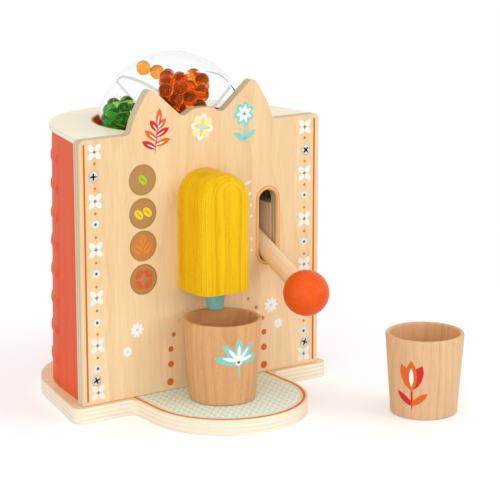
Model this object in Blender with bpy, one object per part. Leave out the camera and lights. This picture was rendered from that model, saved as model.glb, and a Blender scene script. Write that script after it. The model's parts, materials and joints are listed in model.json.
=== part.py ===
"""Toy coffee maker: a wooden cabinet with a turning clear ball of beads on top, a pull lever,
a dispenser head with its nozzle, and two beakers.

Lengths are metres. +X is to the right, +Y goes back into the toy and +Z is up.
The origin lies on the underside of the base board, below the middle of the front panel's face.
"""
import math

import bmesh
import bpy
from mathutils import Matrix, Vector

# Fits shared by every piece
GAP = 0.0003
OVERRUN = 0.002
ARC_STEP_DEGREES = 7.5
SMOOTH_LIMIT_DEGREES = 32

# Cabinet: front panel, and the plan of the body behind it
PANEL_WIDTH = 0.2206
PANEL_HEIGHT = 0.2074
PANEL_THICK = 0.0080
SHOULDER_RADIUS = 0.0040
BODY_DEPTH = 0.1270
SIDE_TAPER_SHARE = 0.21
BACK_BOW = 0.0060
BACK_CORNER_RADIUS = 0.0800
BACK_BOW_RADIUS = 0.3200

# Ears and the low crest between them, measured from the panel's middle and its shoulders
EAR_FOOT_X = 0.0655
EAR_FOOT_RADIUS = 0.0050
EAR_SIDE_X = 0.0605
EAR_SIDE_RISE = 0.0150
EAR_SIDE_RADIUS = 0.0450
EAR_TIP_X = 0.0475
EAR_TIP_RISE = 0.0352
EAR_TIP_RADIUS = 0.0050
VALLEY_X = 0.0180
VALLEY_RISE = 0.0092
VALLEY_RADIUS = 0.0060
CREST_X = 0.0085
CREST_RISE = 0.0150
CREST_RADIUS = 0.0160

# Base board with its round tray
BASE_THICK = 0.0120
BASE_FRONT_LIP = 0.0045
BASE_SIDE_LIP = 0.0085
BASE_BACK_LIP = 0.0120
BASE_CORNER_RADIUS = 0.0070
BASE_EDGE_RADIUS = 0.0015
BASE_EDGE_STEPS = 2
TRAY_X = -0.0025
TRAY_RADIUS = 0.0645
TRAY_REACH = 0.0990
TRAY_NECK_RADIUS = 0.0080

# Top board, its round hole and the thin collar inside the hole
TOP_THICK = 0.0042
HOLE_BACK_RIM = 0.0185
COLLAR_THICK = 0.0012
COLLAR_HEIGHT = 0.0240

# Bent side wall with bands round its back
WALL_THICK = 0.0020
WALL_INSET = 0.0020
WALL_FLARE = 0.0032
BAND_COUNT = 8
BAND_PITCH = 0.0230
BAND_HEIGHT = 0.0095
BAND_PROUD = 0.0011
BAND_EDGE = 0.0030
BAND_LEAD = 0.0050

# Corner battens behind the front panel
BATTEN_WIDTH = 0.0160
BATTEN_DEPTH = 0.0150

# Wood screws with countersunk heads
SCREW_HEAD_RADIUS = 0.0038
SCREW_HEAD_DEPTH = 0.0022
SCREW_RIM = 0.0004
SCREW_SHANK_RADIUS = 0.0016
SCREW_TIP = 0.0030
SCREW_SIDES = 16
PANEL_SCREW_LENGTH = 0.0160
PANEL_SCREW_IN = 0.0123
PANEL_SCREW_LOW_Z = 0.0190
PANEL_SCREW_DROP = 0.0286
BASE_SCREW_LENGTH = 0.0280
BATTEN_SCREW_IN = 0.0050
POST_SCREW_X = 0.0090
HEAD_SCREW_LENGTH = 0.0280
HEAD_SCREW_LOW_RISE = 0.0142
HEAD_SCREW_HIGH_RISE = 0.0562

# Clear hopper ball, flat at its front and back, turning on a dowel
BALL_SIDE_GAP = 0.0050
BALL_FRONT_GAP = 0.0022
BALL_DROP = 0.0054
BALL_WALL = 0.0020
BALL_SIDES = 48
BALL_STEPS = 7
DIVIDER_THICK = 0.0020
DIVIDER_TURN_DEGREES = 43
HUB_RADIUS = 0.0070
AXLE_RADIUS = 0.0040
AXLE_SEAT_DEPTH = 0.0050
AXLE_SIDES = 20

# Heaps of beads lie in the ball's four chambers, up to these heights above its axis
TOP_HEAP_LEVEL = 0.0440
SIDE_HEAP_LEVEL = 0.0150
LOW_HEAP_LEVEL = -0.0200

# Upright post that carries the dowel behind the ball
POST_WIDTH = 0.0300
POST_THICK = 0.0120
POST_BALL_GAP = 0.0015
POST_BACK_ROOM = 0.0340
POST_HEAD = 0.0078

# Dispenser head and nozzle
HEAD_X = -0.0005
HEAD_WIDTH = 0.0460
HEAD_DEPTH = 0.0375
HEAD_HEIGHT = 0.0934
HEAD_ARCH_RADIUS = 0.0220
HEAD_EDGE_RADIUS = 0.0110
HEAD_EDGE_STEPS = 5
NOZZLE_Y = -0.0175
NOZZLE_LENGTH = 0.0161
NOZZLE_CUP_GAP = 0.0014
NOZZLE_TOP_RADIUS = 0.0085
NOZZLE_TIP_RADIUS = 0.0062
NOZZLE_EDGE = 0.0010
NOZZLE_PEG_RADIUS = 0.0040
NOZZLE_PEG_LENGTH = 0.0100
NOZZLE_SIDES = 24

# Slot for the lever, with room round its dowel at both ends of its swing
SLOT_SIDE_IN = 0.0492
SLOT_SIDE_GAP = 0.0012
SLOT_LOW_GAP = 0.0007
SLOT_HIGH_GAP = 0.0014

# Lever: a dowel with a ball knob, turning on a pin between two cheeks
LEVER_REST_DEGREES = 24
LEVER_SWING_DEGREES = 46
PIVOT_Y = 0.0475
PIVOT_DROP = 0.0852
LEVER_RADIUS = 0.0074
LEVER_TAIL = 0.0110
LEVER_END_EDGE = 0.0010
LEVER_SIDES = 24
KNOB_RADIUS = 0.0182
KNOB_REACH = 0.1105
KNOB_BORE_DEPTH = 0.0120
KNOB_RINGS = 14
PIN_RADIUS = 0.0030
PIN_SIDES = 20
CHEEK_THICK = 0.0100
CHEEK_HALF_HEIGHT = 0.0150
CHEEK_TAIL = 0.0120
CHEEK_SIDE_GAP = 0.0006

# Beakers
CUP_HEIGHT = 0.0640
CUP_FOOT_RADIUS = 0.0260
CUP_RIM_RADIUS = 0.0308
CUP_WALL = 0.0036
CUP_FLOOR = 0.0070
CUP_EDGE = 0.0010
CUP_INNER_EDGE = 0.0040
CUP_SIDES = 40
NEAR_CUP_X = -0.0064
NEAR_CUP_Y = -0.0366
FAR_CUP_X = 0.1250
FAR_CUP_Y = -0.1228

# Levels and places that follow from the sizes above
DECK_Z = BASE_THICK
SHOULDER_Z = DECK_Z + PANEL_HEIGHT
TOP_UNDERSIDE_Z = SHOULDER_Z - TOP_THICK
BEHIND_PANEL_Y = PANEL_THICK + GAP
PANEL_SCREW_X = PANEL_WIDTH / 2 - PANEL_SCREW_IN
SLOT_X = PANEL_WIDTH / 2 - SLOT_SIDE_IN
POST_FRONT_Y = BODY_DEPTH - POST_BACK_ROOM - POST_THICK
POST_MIDDLE_Y = POST_FRONT_Y + POST_THICK / 2
BALL_FRONT_Y = BEHIND_PANEL_Y + BALL_FRONT_GAP
BALL_HALF_WIDTH = (POST_FRONT_Y - POST_BALL_GAP - BALL_FRONT_Y) / 2
BALL_CENTRE_Y = BALL_FRONT_Y + BALL_HALF_WIDTH
HOLE_RADIUS = BODY_DEPTH - HOLE_BACK_RIM - BALL_CENTRE_Y
BALL_RADIUS = HOLE_RADIUS - BALL_SIDE_GAP
AXIS_Z = SHOULDER_Z - BALL_DROP
PIVOT_Z = SHOULDER_Z - PIVOT_DROP
HEAD_LOW_Z = DECK_Z + GAP + CUP_HEIGHT + NOZZLE_CUP_GAP + NOZZLE_LENGTH

MATERIALS = {}


def finish(name, colour, roughness):
    """Plain finish with the colour and roughness of one stock or paint."""
    material = bpy.data.materials.new(name)
    material.use_nodes = True
    shader = material.node_tree.nodes["Principled BSDF"]
    shader.inputs["Base Color"].default_value = (*colour, 1)
    shader.inputs["Roughness"].default_value = roughness
    MATERIALS[name] = material
    return shader


def make_materials():
    finish("birch_ply", (0.78, 0.55, 0.34), 0.55)
    finish("inner_wood", (0.62, 0.42, 0.25), 0.65)
    finish("coral_paint", (0.75, 0.11, 0.06), 0.50)
    finish("yellow_stain", (0.90, 0.52, 0.03), 0.45)
    finish("aqua_paint", (0.22, 0.50, 0.50), 0.45)
    finish("orange_stain", (0.82, 0.15, 0.03), 0.35)
    finish("beech", (0.56, 0.33, 0.17), 0.55)
    steel = finish("steel", (0.70, 0.70, 0.72), 0.28)
    steel.inputs["Metallic"].default_value = 1
    clear = finish("clear_plastic", (0.95, 0.97, 0.98), 0.05)
    clear.inputs["Alpha"].default_value = 0.3
    finish("green_beads", (0.04, 0.30, 0.05), 0.15)
    finish("orange_beads", (0.75, 0.14, 0.02), 0.15)
    finish("yellow_beads", (0.85, 0.60, 0.05), 0.15)
    finish("red_beads", (0.60, 0.04, 0.03), 0.15)


def clear_scene():
    for item in list(bpy.data.objects):
        bpy.data.objects.remove(item, do_unlink=True)


def arc_steps(turn):
    return max(2, math.ceil(math.degrees(abs(turn)) / ARC_STEP_DEGREES))


def fitting_radii(corners):
    """Radius of each (u, v, radius) corner, made smaller where two arcs would meet on a side."""
    spots = [Vector(corner[:2]) for corner in corners]
    taken = []
    for index, here in enumerate(spots):
        before = spots[index - 1] - here
        after = spots[(index + 1) % len(spots)] - here
        taken.append(corners[index][2] / math.tan(before.angle(after) / 2))
    shares = [1] * len(spots)
    for index, here in enumerate(spots):
        side = (here - spots[index - 1]).length
        share = side / max(side, taken[index] + taken[index - 1])
        shares[index] = min(shares[index], share)
        shares[index - 1] = min(shares[index - 1], share)
    return [corner[2] * share for corner, share in zip(corners, shares)]


def rounded_outline(corners):
    """Outline through (u, v, radius) corners, each rounded with a tangent arc."""
    points = []
    radii = fitting_radii(corners)
    for index, (u, v, _) in enumerate(corners):
        radius = radii[index]
        here = Vector((u, v))
        before = Vector(corners[index - 1][:2]) - here
        after = Vector(corners[(index + 1) % len(corners)][:2]) - here
        if not radius:
            points.append(here)
            continue
        before.normalize()
        after.normalize()
        half_angle = before.angle(after) / 2
        turn = math.pi - 2 * half_angle
        middle = (before + after).normalized()
        centre = here + middle * (radius / math.sin(half_angle))
        start = here + before * (radius / math.tan(half_angle)) - centre
        side = 1 if before.x * after.y - before.y * after.x < 0 else -1
        steps = arc_steps(turn)
        for step in range(steps + 1):
            swing = Matrix.Rotation(side * turn * step / steps, 2)
            points.append(centre + swing @ start)
    return points


def mirrored(corners):
    """Closed list of corners from those on the right, given from the front or top round."""
    left = [(-u, v, radius) for u, v, radius in reversed(corners) if u]
    return corners + left


def body_corners(half_width, front, back, corner_radius, inset=0, front_radius=0):
    """Plan of the cabinet: sides that draw in towards the back, and a softly bowed back."""
    half = half_width - inset * math.hypot(1, SIDE_TAPER_SHARE)
    rear = back - inset
    corner_y = rear - BACK_BOW
    return [
        (half - SIDE_TAPER_SHARE * front, front, front_radius),
        (half - SIDE_TAPER_SHARE * corner_y, corner_y, corner_radius - inset),
        (0, rear, BACK_BOW_RADIUS),
    ]


def add_prism(shape, outline, low, high, axis="Z"):
    """Outline pulled straight along an axis. Its points are (x, y), (x, z) or (y, z)."""
    place = {
        "Z": lambda u, v, w: (u, v, w),
        "Y": lambda u, v, w: (u, w, v),
        "X": lambda u, v, w: (w, u, v),
    }[axis]
    bottom = [shape.verts.new(place(u, v, low)) for u, v in outline]
    top = [shape.verts.new(place(u, v, high)) for u, v in outline]
    caps = [shape.faces.new(bottom), shape.faces.new(list(reversed(top)))]
    for index in range(len(outline)):
        following = (index + 1) % len(outline)
        shape.faces.new((bottom[index], top[index], top[following], bottom[following]))
    return caps


def add_sections(shape, sections):
    """Skin over (depth, outline) sections along Y, whose outlines have as many points each."""
    rows = [[shape.verts.new((x, depth, z)) for x, z in outline] for depth, outline in sections]
    for near, far in zip(rows, rows[1:]):
        for index in range(len(near)):
            following = (index + 1) % len(near)
            shape.faces.new((near[index], near[following], far[following], far[index]))
    shape.faces.new(rows[0])
    shape.faces.new(rows[-1])


def add_box(shape, low, high):
    outline = [(low[0], low[1]), (high[0], low[1]), (high[0], high[1]), (low[0], high[1])]
    return add_prism(shape, outline, low[2], high[2])


def add_turned(shape, profile, sides, place=None, ring=False):
    """Profile of (radius, height) points turned round +Z, closed on itself if it is a ring."""
    place = place or Matrix.Identity(4)
    rows = []
    for radius, height in profile:
        if radius:
            angles = [math.tau * step / sides for step in range(sides)]
            spots = [(radius * math.cos(a), radius * math.sin(a), height) for a in angles]
        else:
            spots = [(0, 0, height)]
        rows.append([shape.verts.new(place @ Vector(spot)) for spot in spots])
    pairs = list(zip(rows, rows[1:]))
    if ring:
        pairs.append((rows[-1], rows[0]))
    for lower, upper in pairs:
        for step in range(sides):
            corner = (lower[step % len(lower)], lower[(step + 1) % len(lower)],
                      upper[(step + 1) % len(upper)], upper[step % len(upper)])
            loop = list(dict.fromkeys(corner))
            if len(loop) > 2:
                shape.faces.new(loop)


def cylinder_profile(radius, low, high):
    return [(0, low), (radius, low), (radius, high), (0, high)]


def solid(name, shape, material, place=(0, 0, 0), turn=(0, 0, 0), parent=None, smooth=False):
    """Turn a shape into a named object with its faces outwards, shaded smooth if it is round."""
    bmesh.ops.recalc_face_normals(shape, faces=shape.faces[:])
    mesh = bpy.data.meshes.new(name)
    shape.to_mesh(mesh)
    shape.free()
    mesh.materials.append(MATERIALS[material])
    if smooth:
        mesh.shade_smooth()
        mesh.set_sharp_from_angle(angle=math.radians(SMOOTH_LIMIT_DEGREES))
    return put(name, mesh, place, turn, parent)


def put(name, mesh, place=(0, 0, 0), turn=(0, 0, 0), parent=None):
    item = bpy.data.objects.new(name, mesh)
    bpy.context.scene.collection.objects.link(item)
    item.location = place
    item.rotation_euler = turn
    item.parent = parent
    return item


def cutter(name, shape, place=(0, 0, 0), turn=(0, 0, 0), parent=None):
    item = solid(name, shape, "inner_wood", place, turn, parent)
    item.hide_render = True
    item.display_type = "WIRE"
    return item


def combine(item, other, operation="DIFFERENCE"):
    modifier = item.modifiers.new(other.name, "BOOLEAN")
    modifier.operation = operation
    modifier.solver = "EXACT"
    modifier.object = other


# Screws, and the room that each one takes in the wood round it

def screw_profile(length, grow=0, overrun=0):
    """Countersunk wood screw from its tip up to its flat head at height zero."""
    shank = SCREW_SHANK_RADIUS + grow
    head = SCREW_HEAD_RADIUS + grow
    return [
        (0, -length - grow),
        (shank, -length + SCREW_TIP - grow),
        (shank, -SCREW_HEAD_DEPTH - grow),
        (head, -SCREW_RIM - grow),
        (head, overrun),
        (0, overrun),
    ]


def facing(direction):
    """Turn that points a screw's head along a direction."""
    return Vector(direction).to_track_quat("Z", "Y").to_matrix().to_4x4()


def screw_room(name, length, places, direction):
    shape = bmesh.new()
    for place in places:
        spot = Matrix.Translation(place) @ facing(direction)
        add_turned(shape, screw_profile(length, GAP, OVERRUN), SCREW_SIDES, spot)
    return cutter(name, shape)


def screws(names, length, places, direction):
    shape = bmesh.new()
    add_turned(shape, screw_profile(length), SCREW_SIDES)
    turn = facing(direction).to_euler()
    first = solid(names[0], shape, "steel", places[0], turn, smooth=True)
    for name, place in zip(names[1:], places[1:]):
        put(name, first.data, place, turn)


def panel_screw_places():
    rows = (DECK_Z + PANEL_SCREW_LOW_Z, SHOULDER_Z - PANEL_SCREW_DROP)
    return [(x, 0, z) for x in (-PANEL_SCREW_X, PANEL_SCREW_X) for z in rows]


def base_screw_places():
    batten_x = PANEL_SCREW_X - BATTEN_SCREW_IN
    batten_y = BEHIND_PANEL_Y + BATTEN_DEPTH / 2
    battens = [(x, batten_y, 0) for x in (-batten_x, batten_x)]
    post = [(x, POST_MIDDLE_Y, 0) for x in (-POST_SCREW_X, POST_SCREW_X)]
    return battens + post


def head_screw_places():
    heights = (HEAD_LOW_Z + HEAD_SCREW_LOW_RISE, HEAD_LOW_Z + HEAD_SCREW_HIGH_RISE)
    return [(HEAD_X, PANEL_THICK, z) for z in heights]


def make_screws():
    """Four in the panel's corners, four up through the base and two into the head."""
    corners = ("left_low", "left_high", "right_low", "right_high")
    screws([f"panel_screw_{corner}" for corner in corners],
           PANEL_SCREW_LENGTH, panel_screw_places(), (0, -1, 0))
    spots = ("left_batten", "right_batten", "post_left", "post_right")
    screws([f"base_screw_{spot}" for spot in spots],
           BASE_SCREW_LENGTH, base_screw_places(), (0, 0, -1))
    screws(["head_screw_low", "head_screw_high"],
           HEAD_SCREW_LENGTH, head_screw_places(), (0, 1, 0))


# Cabinet

def make_base_board(base_room):
    """Thick plywood board with a round tray that juts out in front."""
    half = PANEL_WIDTH / 2 + BASE_SIDE_LIP
    body = body_corners(half, -BASE_FRONT_LIP, BODY_DEPTH + BASE_BACK_LIP,
                        BACK_CORNER_RADIUS, front_radius=BASE_CORNER_RADIUS)
    tray = [(-TRAY_REACH, TRAY_RADIUS), (-BASE_FRONT_LIP, TRAY_NECK_RADIUS)]
    right = [(TRAY_X + TRAY_RADIUS, y, radius) for y, radius in tray]
    left = [(TRAY_X - TRAY_RADIUS, y, radius) for y, radius in reversed(tray)]
    shape = bmesh.new()
    caps = add_prism(shape, rounded_outline(right + mirrored(body) + left), 0, BASE_THICK)
    rims = [edge for cap in caps for edge in cap.edges]
    bmesh.ops.bevel(shape, geom=rims, offset=BASE_EDGE_RADIUS, segments=BASE_EDGE_STEPS,
                    profile=0.5, affect="EDGES", clamp_overlap=True)
    board = solid("base_board", shape, "birch_ply")
    combine(board, base_room)


def panel_corners():
    half = PANEL_WIDTH / 2
    ear = [
        (EAR_FOOT_X, 0, EAR_FOOT_RADIUS),
        (EAR_SIDE_X, EAR_SIDE_RISE, EAR_SIDE_RADIUS),
        (EAR_TIP_X, EAR_TIP_RISE, EAR_TIP_RADIUS),
        (VALLEY_X, VALLEY_RISE, VALLEY_RADIUS),
        (CREST_X, CREST_RISE, CREST_RADIUS),
    ]
    raised = [(x, SHOULDER_Z + rise, radius) for x, rise, radius in ear]
    low = (half, DECK_Z + GAP, 0)
    return mirrored([low, (half, SHOULDER_Z, SHOULDER_RADIUS)] + raised)


def lever_edge(degrees):
    """How far the dowel's edge is from its pin's height, at the panel's face and this tilt."""
    tilt = math.radians(degrees)
    return PIVOT_Y * math.tan(tilt) + LEVER_RADIUS / math.cos(tilt)


def slot_outline():
    half = LEVER_RADIUS + SLOT_SIDE_GAP
    low = PIVOT_Z - lever_edge(LEVER_REST_DEGREES) - SLOT_LOW_GAP
    high = PIVOT_Z + lever_edge(LEVER_SWING_DEGREES - LEVER_REST_DEGREES) + SLOT_HIGH_GAP
    corners = [(SLOT_X - half, low), (SLOT_X + half, low), (SLOT_X + half, high), (SLOT_X - half, high)]
    return rounded_outline([(x, z, half) for x, z in corners])


def make_front_panel(panel_room, head_room, axle_room):
    """Plywood front with two ears, a low crest between them and a slot for the lever."""
    shape = bmesh.new()
    add_prism(shape, rounded_outline(panel_corners()), 0, PANEL_THICK, "Y")
    panel = solid("front_panel", shape, "birch_ply")
    shape = bmesh.new()
    add_prism(shape, slot_outline(), -OVERRUN, PANEL_THICK + OVERRUN, "Y")
    combine(panel, cutter("slot_cut", shape))
    for room in (panel_room, head_room, axle_room):
        combine(panel, room)


def make_top_board():
    """Thin board that closes the cabinet, cut out round for the ball."""
    corners = body_corners(PANEL_WIDTH / 2, BEHIND_PANEL_Y, BODY_DEPTH, BACK_CORNER_RADIUS)
    shape = bmesh.new()
    add_prism(shape, rounded_outline(mirrored(corners)), TOP_UNDERSIDE_Z, SHOULDER_Z)
    board = solid("top_board", shape, "birch_ply")
    shape = bmesh.new()
    hole = cylinder_profile(HOLE_RADIUS, TOP_UNDERSIDE_Z - OVERRUN, SHOULDER_Z + OVERRUN)
    add_turned(shape, hole, BALL_SIDES, Matrix.Translation((0, BALL_CENTRE_Y, 0)))
    combine(board, cutter("hole_cut", shape))


def make_hole_collar():
    """Thin coral strip bent round the hole, from one side of the panel to the other."""
    outer = HOLE_RADIUS - GAP
    inner = outer - COLLAR_THICK
    front = BEHIND_PANEL_Y - BALL_CENTRE_Y
    outline = []
    for radius, way in ((outer, 1), (inner, -1)):
        start = math.asin(front / radius)
        sweep = math.pi - 2 * start
        steps = arc_steps(sweep)
        turns = [start + sweep * step / steps for step in range(steps + 1)]
        outline += [(radius * math.cos(turn), BALL_CENTRE_Y + radius * math.sin(turn))
                    for turn in turns[::way]]
    shape = bmesh.new()
    add_prism(shape, outline, SHOULDER_Z - COLLAR_HEIGHT, SHOULDER_Z - GAP)
    solid("hole_collar", shape, "coral_paint")


def wall_outline(inset):
    """Plan of the wall, with a point on each flat side where the bands run out."""
    corners = body_corners(PANEL_WIDTH / 2, BEHIND_PANEL_Y, BODY_DEPTH, BACK_CORNER_RADIUS, inset)
    outline = rounded_outline(mirrored(corners))
    for end, bend in ((0, 1), (-1, -2)):
        lead = (outline[end] - outline[bend]).normalized() * BAND_LEAD
        outline.insert(bend if end == 0 else len(outline) - 1, outline[bend] + lead)
    return outline


def band_levels(low, high):
    """Heights on the wall's outside with how far it stands proud there, as a share of a band."""
    levels = [(low, 0)]
    reach = BAND_HEIGHT / 2
    for band in range(BAND_COUNT):
        middle = (low + high) / 2 + BAND_PITCH * (band - (BAND_COUNT - 1) / 2)
        levels += [(middle - reach, 0), (middle - reach + BAND_EDGE, 1),
                   (middle + reach - BAND_EDGE, 1), (middle + reach, 0)]
    return levels + [(high, 0)]


def flared(inset, share):
    """Plan of the wall moved out by a share of its flare, with its two front ends kept."""
    outline = wall_outline(inset)
    last = len(outline) - 1
    wider = wall_outline(inset - WALL_FLARE)
    return [spot if index in (0, last) else spot.lerp(wide, share)
            for index, (spot, wide) in enumerate(zip(outline, wider))]


def make_side_wall():
    """One coral sheet bent round the sides and back, wider at the foot, with proud bands at the back."""
    outer = wall_outline(WALL_INSET)
    proud = wall_outline(WALL_INSET - BAND_PROUD)
    low = DECK_Z + GAP
    high = TOP_UNDERSIDE_Z - GAP
    shape = bmesh.new()
    rows = []
    banded = range(2, len(outer) - 2)
    for level, share in band_levels(low, high):
        plan = flared(WALL_INSET, (high - level) / (high - low))
        row = []
        for index, (spot, flat, raised) in enumerate(zip(plan, outer, proud)):
            spot = spot + (raised - flat) * (share if index in banded else 0)
            row.append(shape.verts.new((spot.x, spot.y, level)))
        rows.append(row)
    feet = [[shape.verts.new((spot.x, spot.y, level)) for spot in flared(WALL_INSET + WALL_THICK, share)]
            for level, share in ((high, 0), (low, 1))]
    loops = rows + feet
    count = len(outer)
    for lower, upper in zip(loops, loops[1:] + loops[:1]):
        for index in range(count - 1):
            shape.faces.new((lower[index], lower[index + 1], upper[index + 1], upper[index]))
    for end in (0, count - 1):
        shape.faces.new([loop[end] for loop in loops])
    solid("side_wall", shape, "coral_paint", smooth=True)


def make_battens(panel_room, base_room):
    """Upright strips in the front corners, which the panel and base are screwed to."""
    slope = math.hypot(1, SIDE_TAPER_SHARE)
    reach = PANEL_WIDTH / 2 - (WALL_INSET + WALL_THICK + GAP) * slope
    front = BEHIND_PANEL_Y
    back = front + BATTEN_DEPTH
    for name, side in (("left_batten", -1), ("right_batten", 1)):
        outline = [
            (side * (reach - SIDE_TAPER_SHARE * front), front),
            (side * (reach - SIDE_TAPER_SHARE * back), back),
            (side * (reach - BATTEN_WIDTH), back),
            (side * (reach - BATTEN_WIDTH), front),
        ]
        shape = bmesh.new()
        add_prism(shape, outline, DECK_Z + GAP, TOP_UNDERSIDE_Z - GAP)
        batten = solid(name, shape, "inner_wood")
        combine(batten, panel_room)
        combine(batten, base_room)


# Hopper ball

def along_depth():
    """Turn that lays a turned piece's axis along +Y."""
    return Matrix.Rotation(-math.pi / 2, 4, "X")


def ball_arc(radius, half_width, start_share=0, end_share=1):
    """Points (radius, height) of a ball's side between two shares of its half width."""
    first = math.asin(start_share * half_width / radius)
    last = math.asin(end_share * half_width / radius)
    spots = []
    for step in range(BALL_STEPS + 1):
        angle = first + (last - first) * step / BALL_STEPS
        spots.append((radius * math.cos(angle), radius * math.sin(angle)))
    return spots


def make_ball_shells(axis):
    """Two clear halves that meet in the middle, each with a flat end round the hub."""
    bore = HUB_RADIUS + GAP
    inner_radius = BALL_RADIUS - BALL_WALL
    inner_half = BALL_HALF_WIDTH - BALL_WALL
    seam_share = GAP / (2 * BALL_HALF_WIDTH)
    outer = ball_arc(BALL_RADIUS, BALL_HALF_WIDTH, seam_share)
    inner = ball_arc(inner_radius, inner_half, seam_share * BALL_HALF_WIDTH / inner_half)
    profile = outer + [(bore, BALL_HALF_WIDTH), (bore, inner_half)] + inner[::-1]
    for name, side in (("ball_shell_back", 1), ("ball_shell_front", -1)):
        shape = bmesh.new()
        half = [(radius, side * height) for radius, height in profile]
        add_turned(shape, half, BALL_SIDES, along_depth(), ring=True)
        solid(name, shape, "clear_plastic", parent=axis, smooth=True)


def inside_ball_profile(low_radius, grow):
    """Half of the ball's inside in (radius, height), from its back to its front."""
    radius = BALL_RADIUS - BALL_WALL - grow
    half_width = BALL_HALF_WIDTH - BALL_WALL - grow
    arc = ball_arc(radius, half_width, -1, 1)
    return [(low_radius, -half_width)] + arc + [(low_radius, half_width)]


def make_divider(axis):
    """Clear cross of two plates on a hub, which splits the ball into four chambers."""
    half = DIVIDER_THICK / 2
    profile = inside_ball_profile(0, GAP)
    outline = [(radius, height) for radius, height in profile if radius]
    outline += [(-radius, height) for radius, height in reversed(outline)]
    turn = (0, -math.radians(DIVIDER_TURN_DEGREES), 0)
    shape = bmesh.new()
    add_prism(shape, outline, -half, half)
    cross = solid("ball_divider", shape, "clear_plastic", turn=turn, parent=axis)
    shape = bmesh.new()
    add_prism(shape, outline, -half, half)
    bmesh.ops.rotate(shape, verts=shape.verts, matrix=Matrix.Rotation(math.pi / 2, 3, "Y"))
    combine(cross, cutter("cross_plate", shape, turn=turn, parent=axis), "UNION")
    shape = bmesh.new()
    hub = cylinder_profile(HUB_RADIUS, -BALL_HALF_WIDTH, BALL_HALF_WIDTH)
    add_turned(shape, hub, AXLE_SIDES, along_depth())
    combine(cross, cutter("hub_core", shape, parent=axis), "UNION")
    shape = bmesh.new()
    reach = BALL_HALF_WIDTH + OVERRUN
    bore = cylinder_profile(AXLE_RADIUS + GAP, -reach, reach)
    add_turned(shape, bore, AXLE_SIDES, along_depth())
    combine(cross, cutter("hub_bore", shape, parent=axis))


def below_level(outline, level):
    """The part of a convex (x, z) outline that lies below a level."""
    kept = []
    for index, here in enumerate(outline):
        before = outline[index - 1]
        if (here[1] > level) != (before[1] > level):
            share = (level - before[1]) / (here[1] - before[1])
            kept.append((before[0] + share * (here[0] - before[0]), level))
        if here[1] <= level:
            kept.append(here)
    return kept


def make_bead_heap(name, material, chamber, level, axis):
    """Beads that lie loose in one chamber, as one block up to their level."""
    start = math.radians(DIVIDER_TURN_DEGREES + 90 * chamber)
    corner = (DIVIDER_THICK / 2 + GAP) * math.sqrt(2)
    middle = start + math.pi / 4
    reach = BALL_RADIUS * 2
    apex = (corner * math.cos(middle), corner * math.sin(middle))
    rays = [(reach * math.cos(turn), reach * math.sin(turn))
            for turn in (start, middle, start + math.pi / 2)]
    outline = [apex] + [(apex[0] + x, apex[1] + z) for x, z in rays]
    shape = bmesh.new()
    profile = inside_ball_profile(HUB_RADIUS + GAP, GAP)
    add_turned(shape, profile, BALL_SIDES, along_depth(), ring=True)
    heap = solid(name, shape, material, parent=axis)
    shape = bmesh.new()
    add_prism(shape, below_level(outline, level), -BALL_HALF_WIDTH, BALL_HALF_WIDTH, "Y")
    combine(heap, cutter(f"{name}_room", shape, parent=axis), "INTERSECT")


def make_hopper(axis):
    make_ball_shells(axis)
    make_divider(axis)
    make_bead_heap("orange_bead_heap", "orange_beads", 0, TOP_HEAP_LEVEL, axis)
    make_bead_heap("green_bead_heap", "green_beads", 1, SIDE_HEAP_LEVEL, axis)
    make_bead_heap("red_bead_heap", "red_beads", 2, LOW_HEAP_LEVEL, axis)
    make_bead_heap("yellow_bead_heap", "yellow_beads", 3, SIDE_HEAP_LEVEL, axis)


def make_axle_room():
    """Room for the dowel in the panel and in the post behind the ball."""
    shape = bmesh.new()
    start = PANEL_THICK - AXLE_SEAT_DEPTH
    end = POST_FRONT_Y + POST_THICK + OVERRUN
    room = cylinder_profile(AXLE_RADIUS + GAP, start, end)
    add_turned(shape, room, AXLE_SIDES, Matrix.Translation((0, 0, AXIS_Z)) @ along_depth())
    return cutter("axle_room", shape)


def make_axle():
    """Fixed dowel that the ball turns on, seated in the panel and the post."""
    shape = bmesh.new()
    start = PANEL_THICK - AXLE_SEAT_DEPTH + GAP
    end = POST_FRONT_Y + POST_THICK
    add_turned(shape, cylinder_profile(AXLE_RADIUS, start, end), AXLE_SIDES, along_depth())
    solid("ball_axle", shape, "inner_wood", (0, 0, AXIS_Z), smooth=True)


def make_axle_post(base_room, axle_room):
    """Upright behind the ball, screwed to the base, with a rounded head round the dowel."""
    half = POST_WIDTH / 2
    head = AXIS_Z + POST_HEAD
    corners = [(half, DECK_Z + GAP, 0), (half, head, POST_HEAD)]
    shape = bmesh.new()
    outline = rounded_outline(mirrored(corners))
    add_prism(shape, outline, POST_FRONT_Y, POST_FRONT_Y + POST_THICK, "Y")
    post = solid("axle_post", shape, "inner_wood")
    combine(post, base_room)
    combine(post, axle_room)


# Dispenser head

def head_outline(inset):
    half = HEAD_WIDTH / 2 - inset
    low = HEAD_LOW_Z
    high = HEAD_LOW_Z + HEAD_HEIGHT - inset
    arch = HEAD_ARCH_RADIUS - inset
    corners = [
        (HEAD_X - half, low, 0),
        (HEAD_X + half, low, 0),
        (HEAD_X + half, high, arch),
        (HEAD_X - half, high, arch),
    ]
    return rounded_outline(corners)


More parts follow.
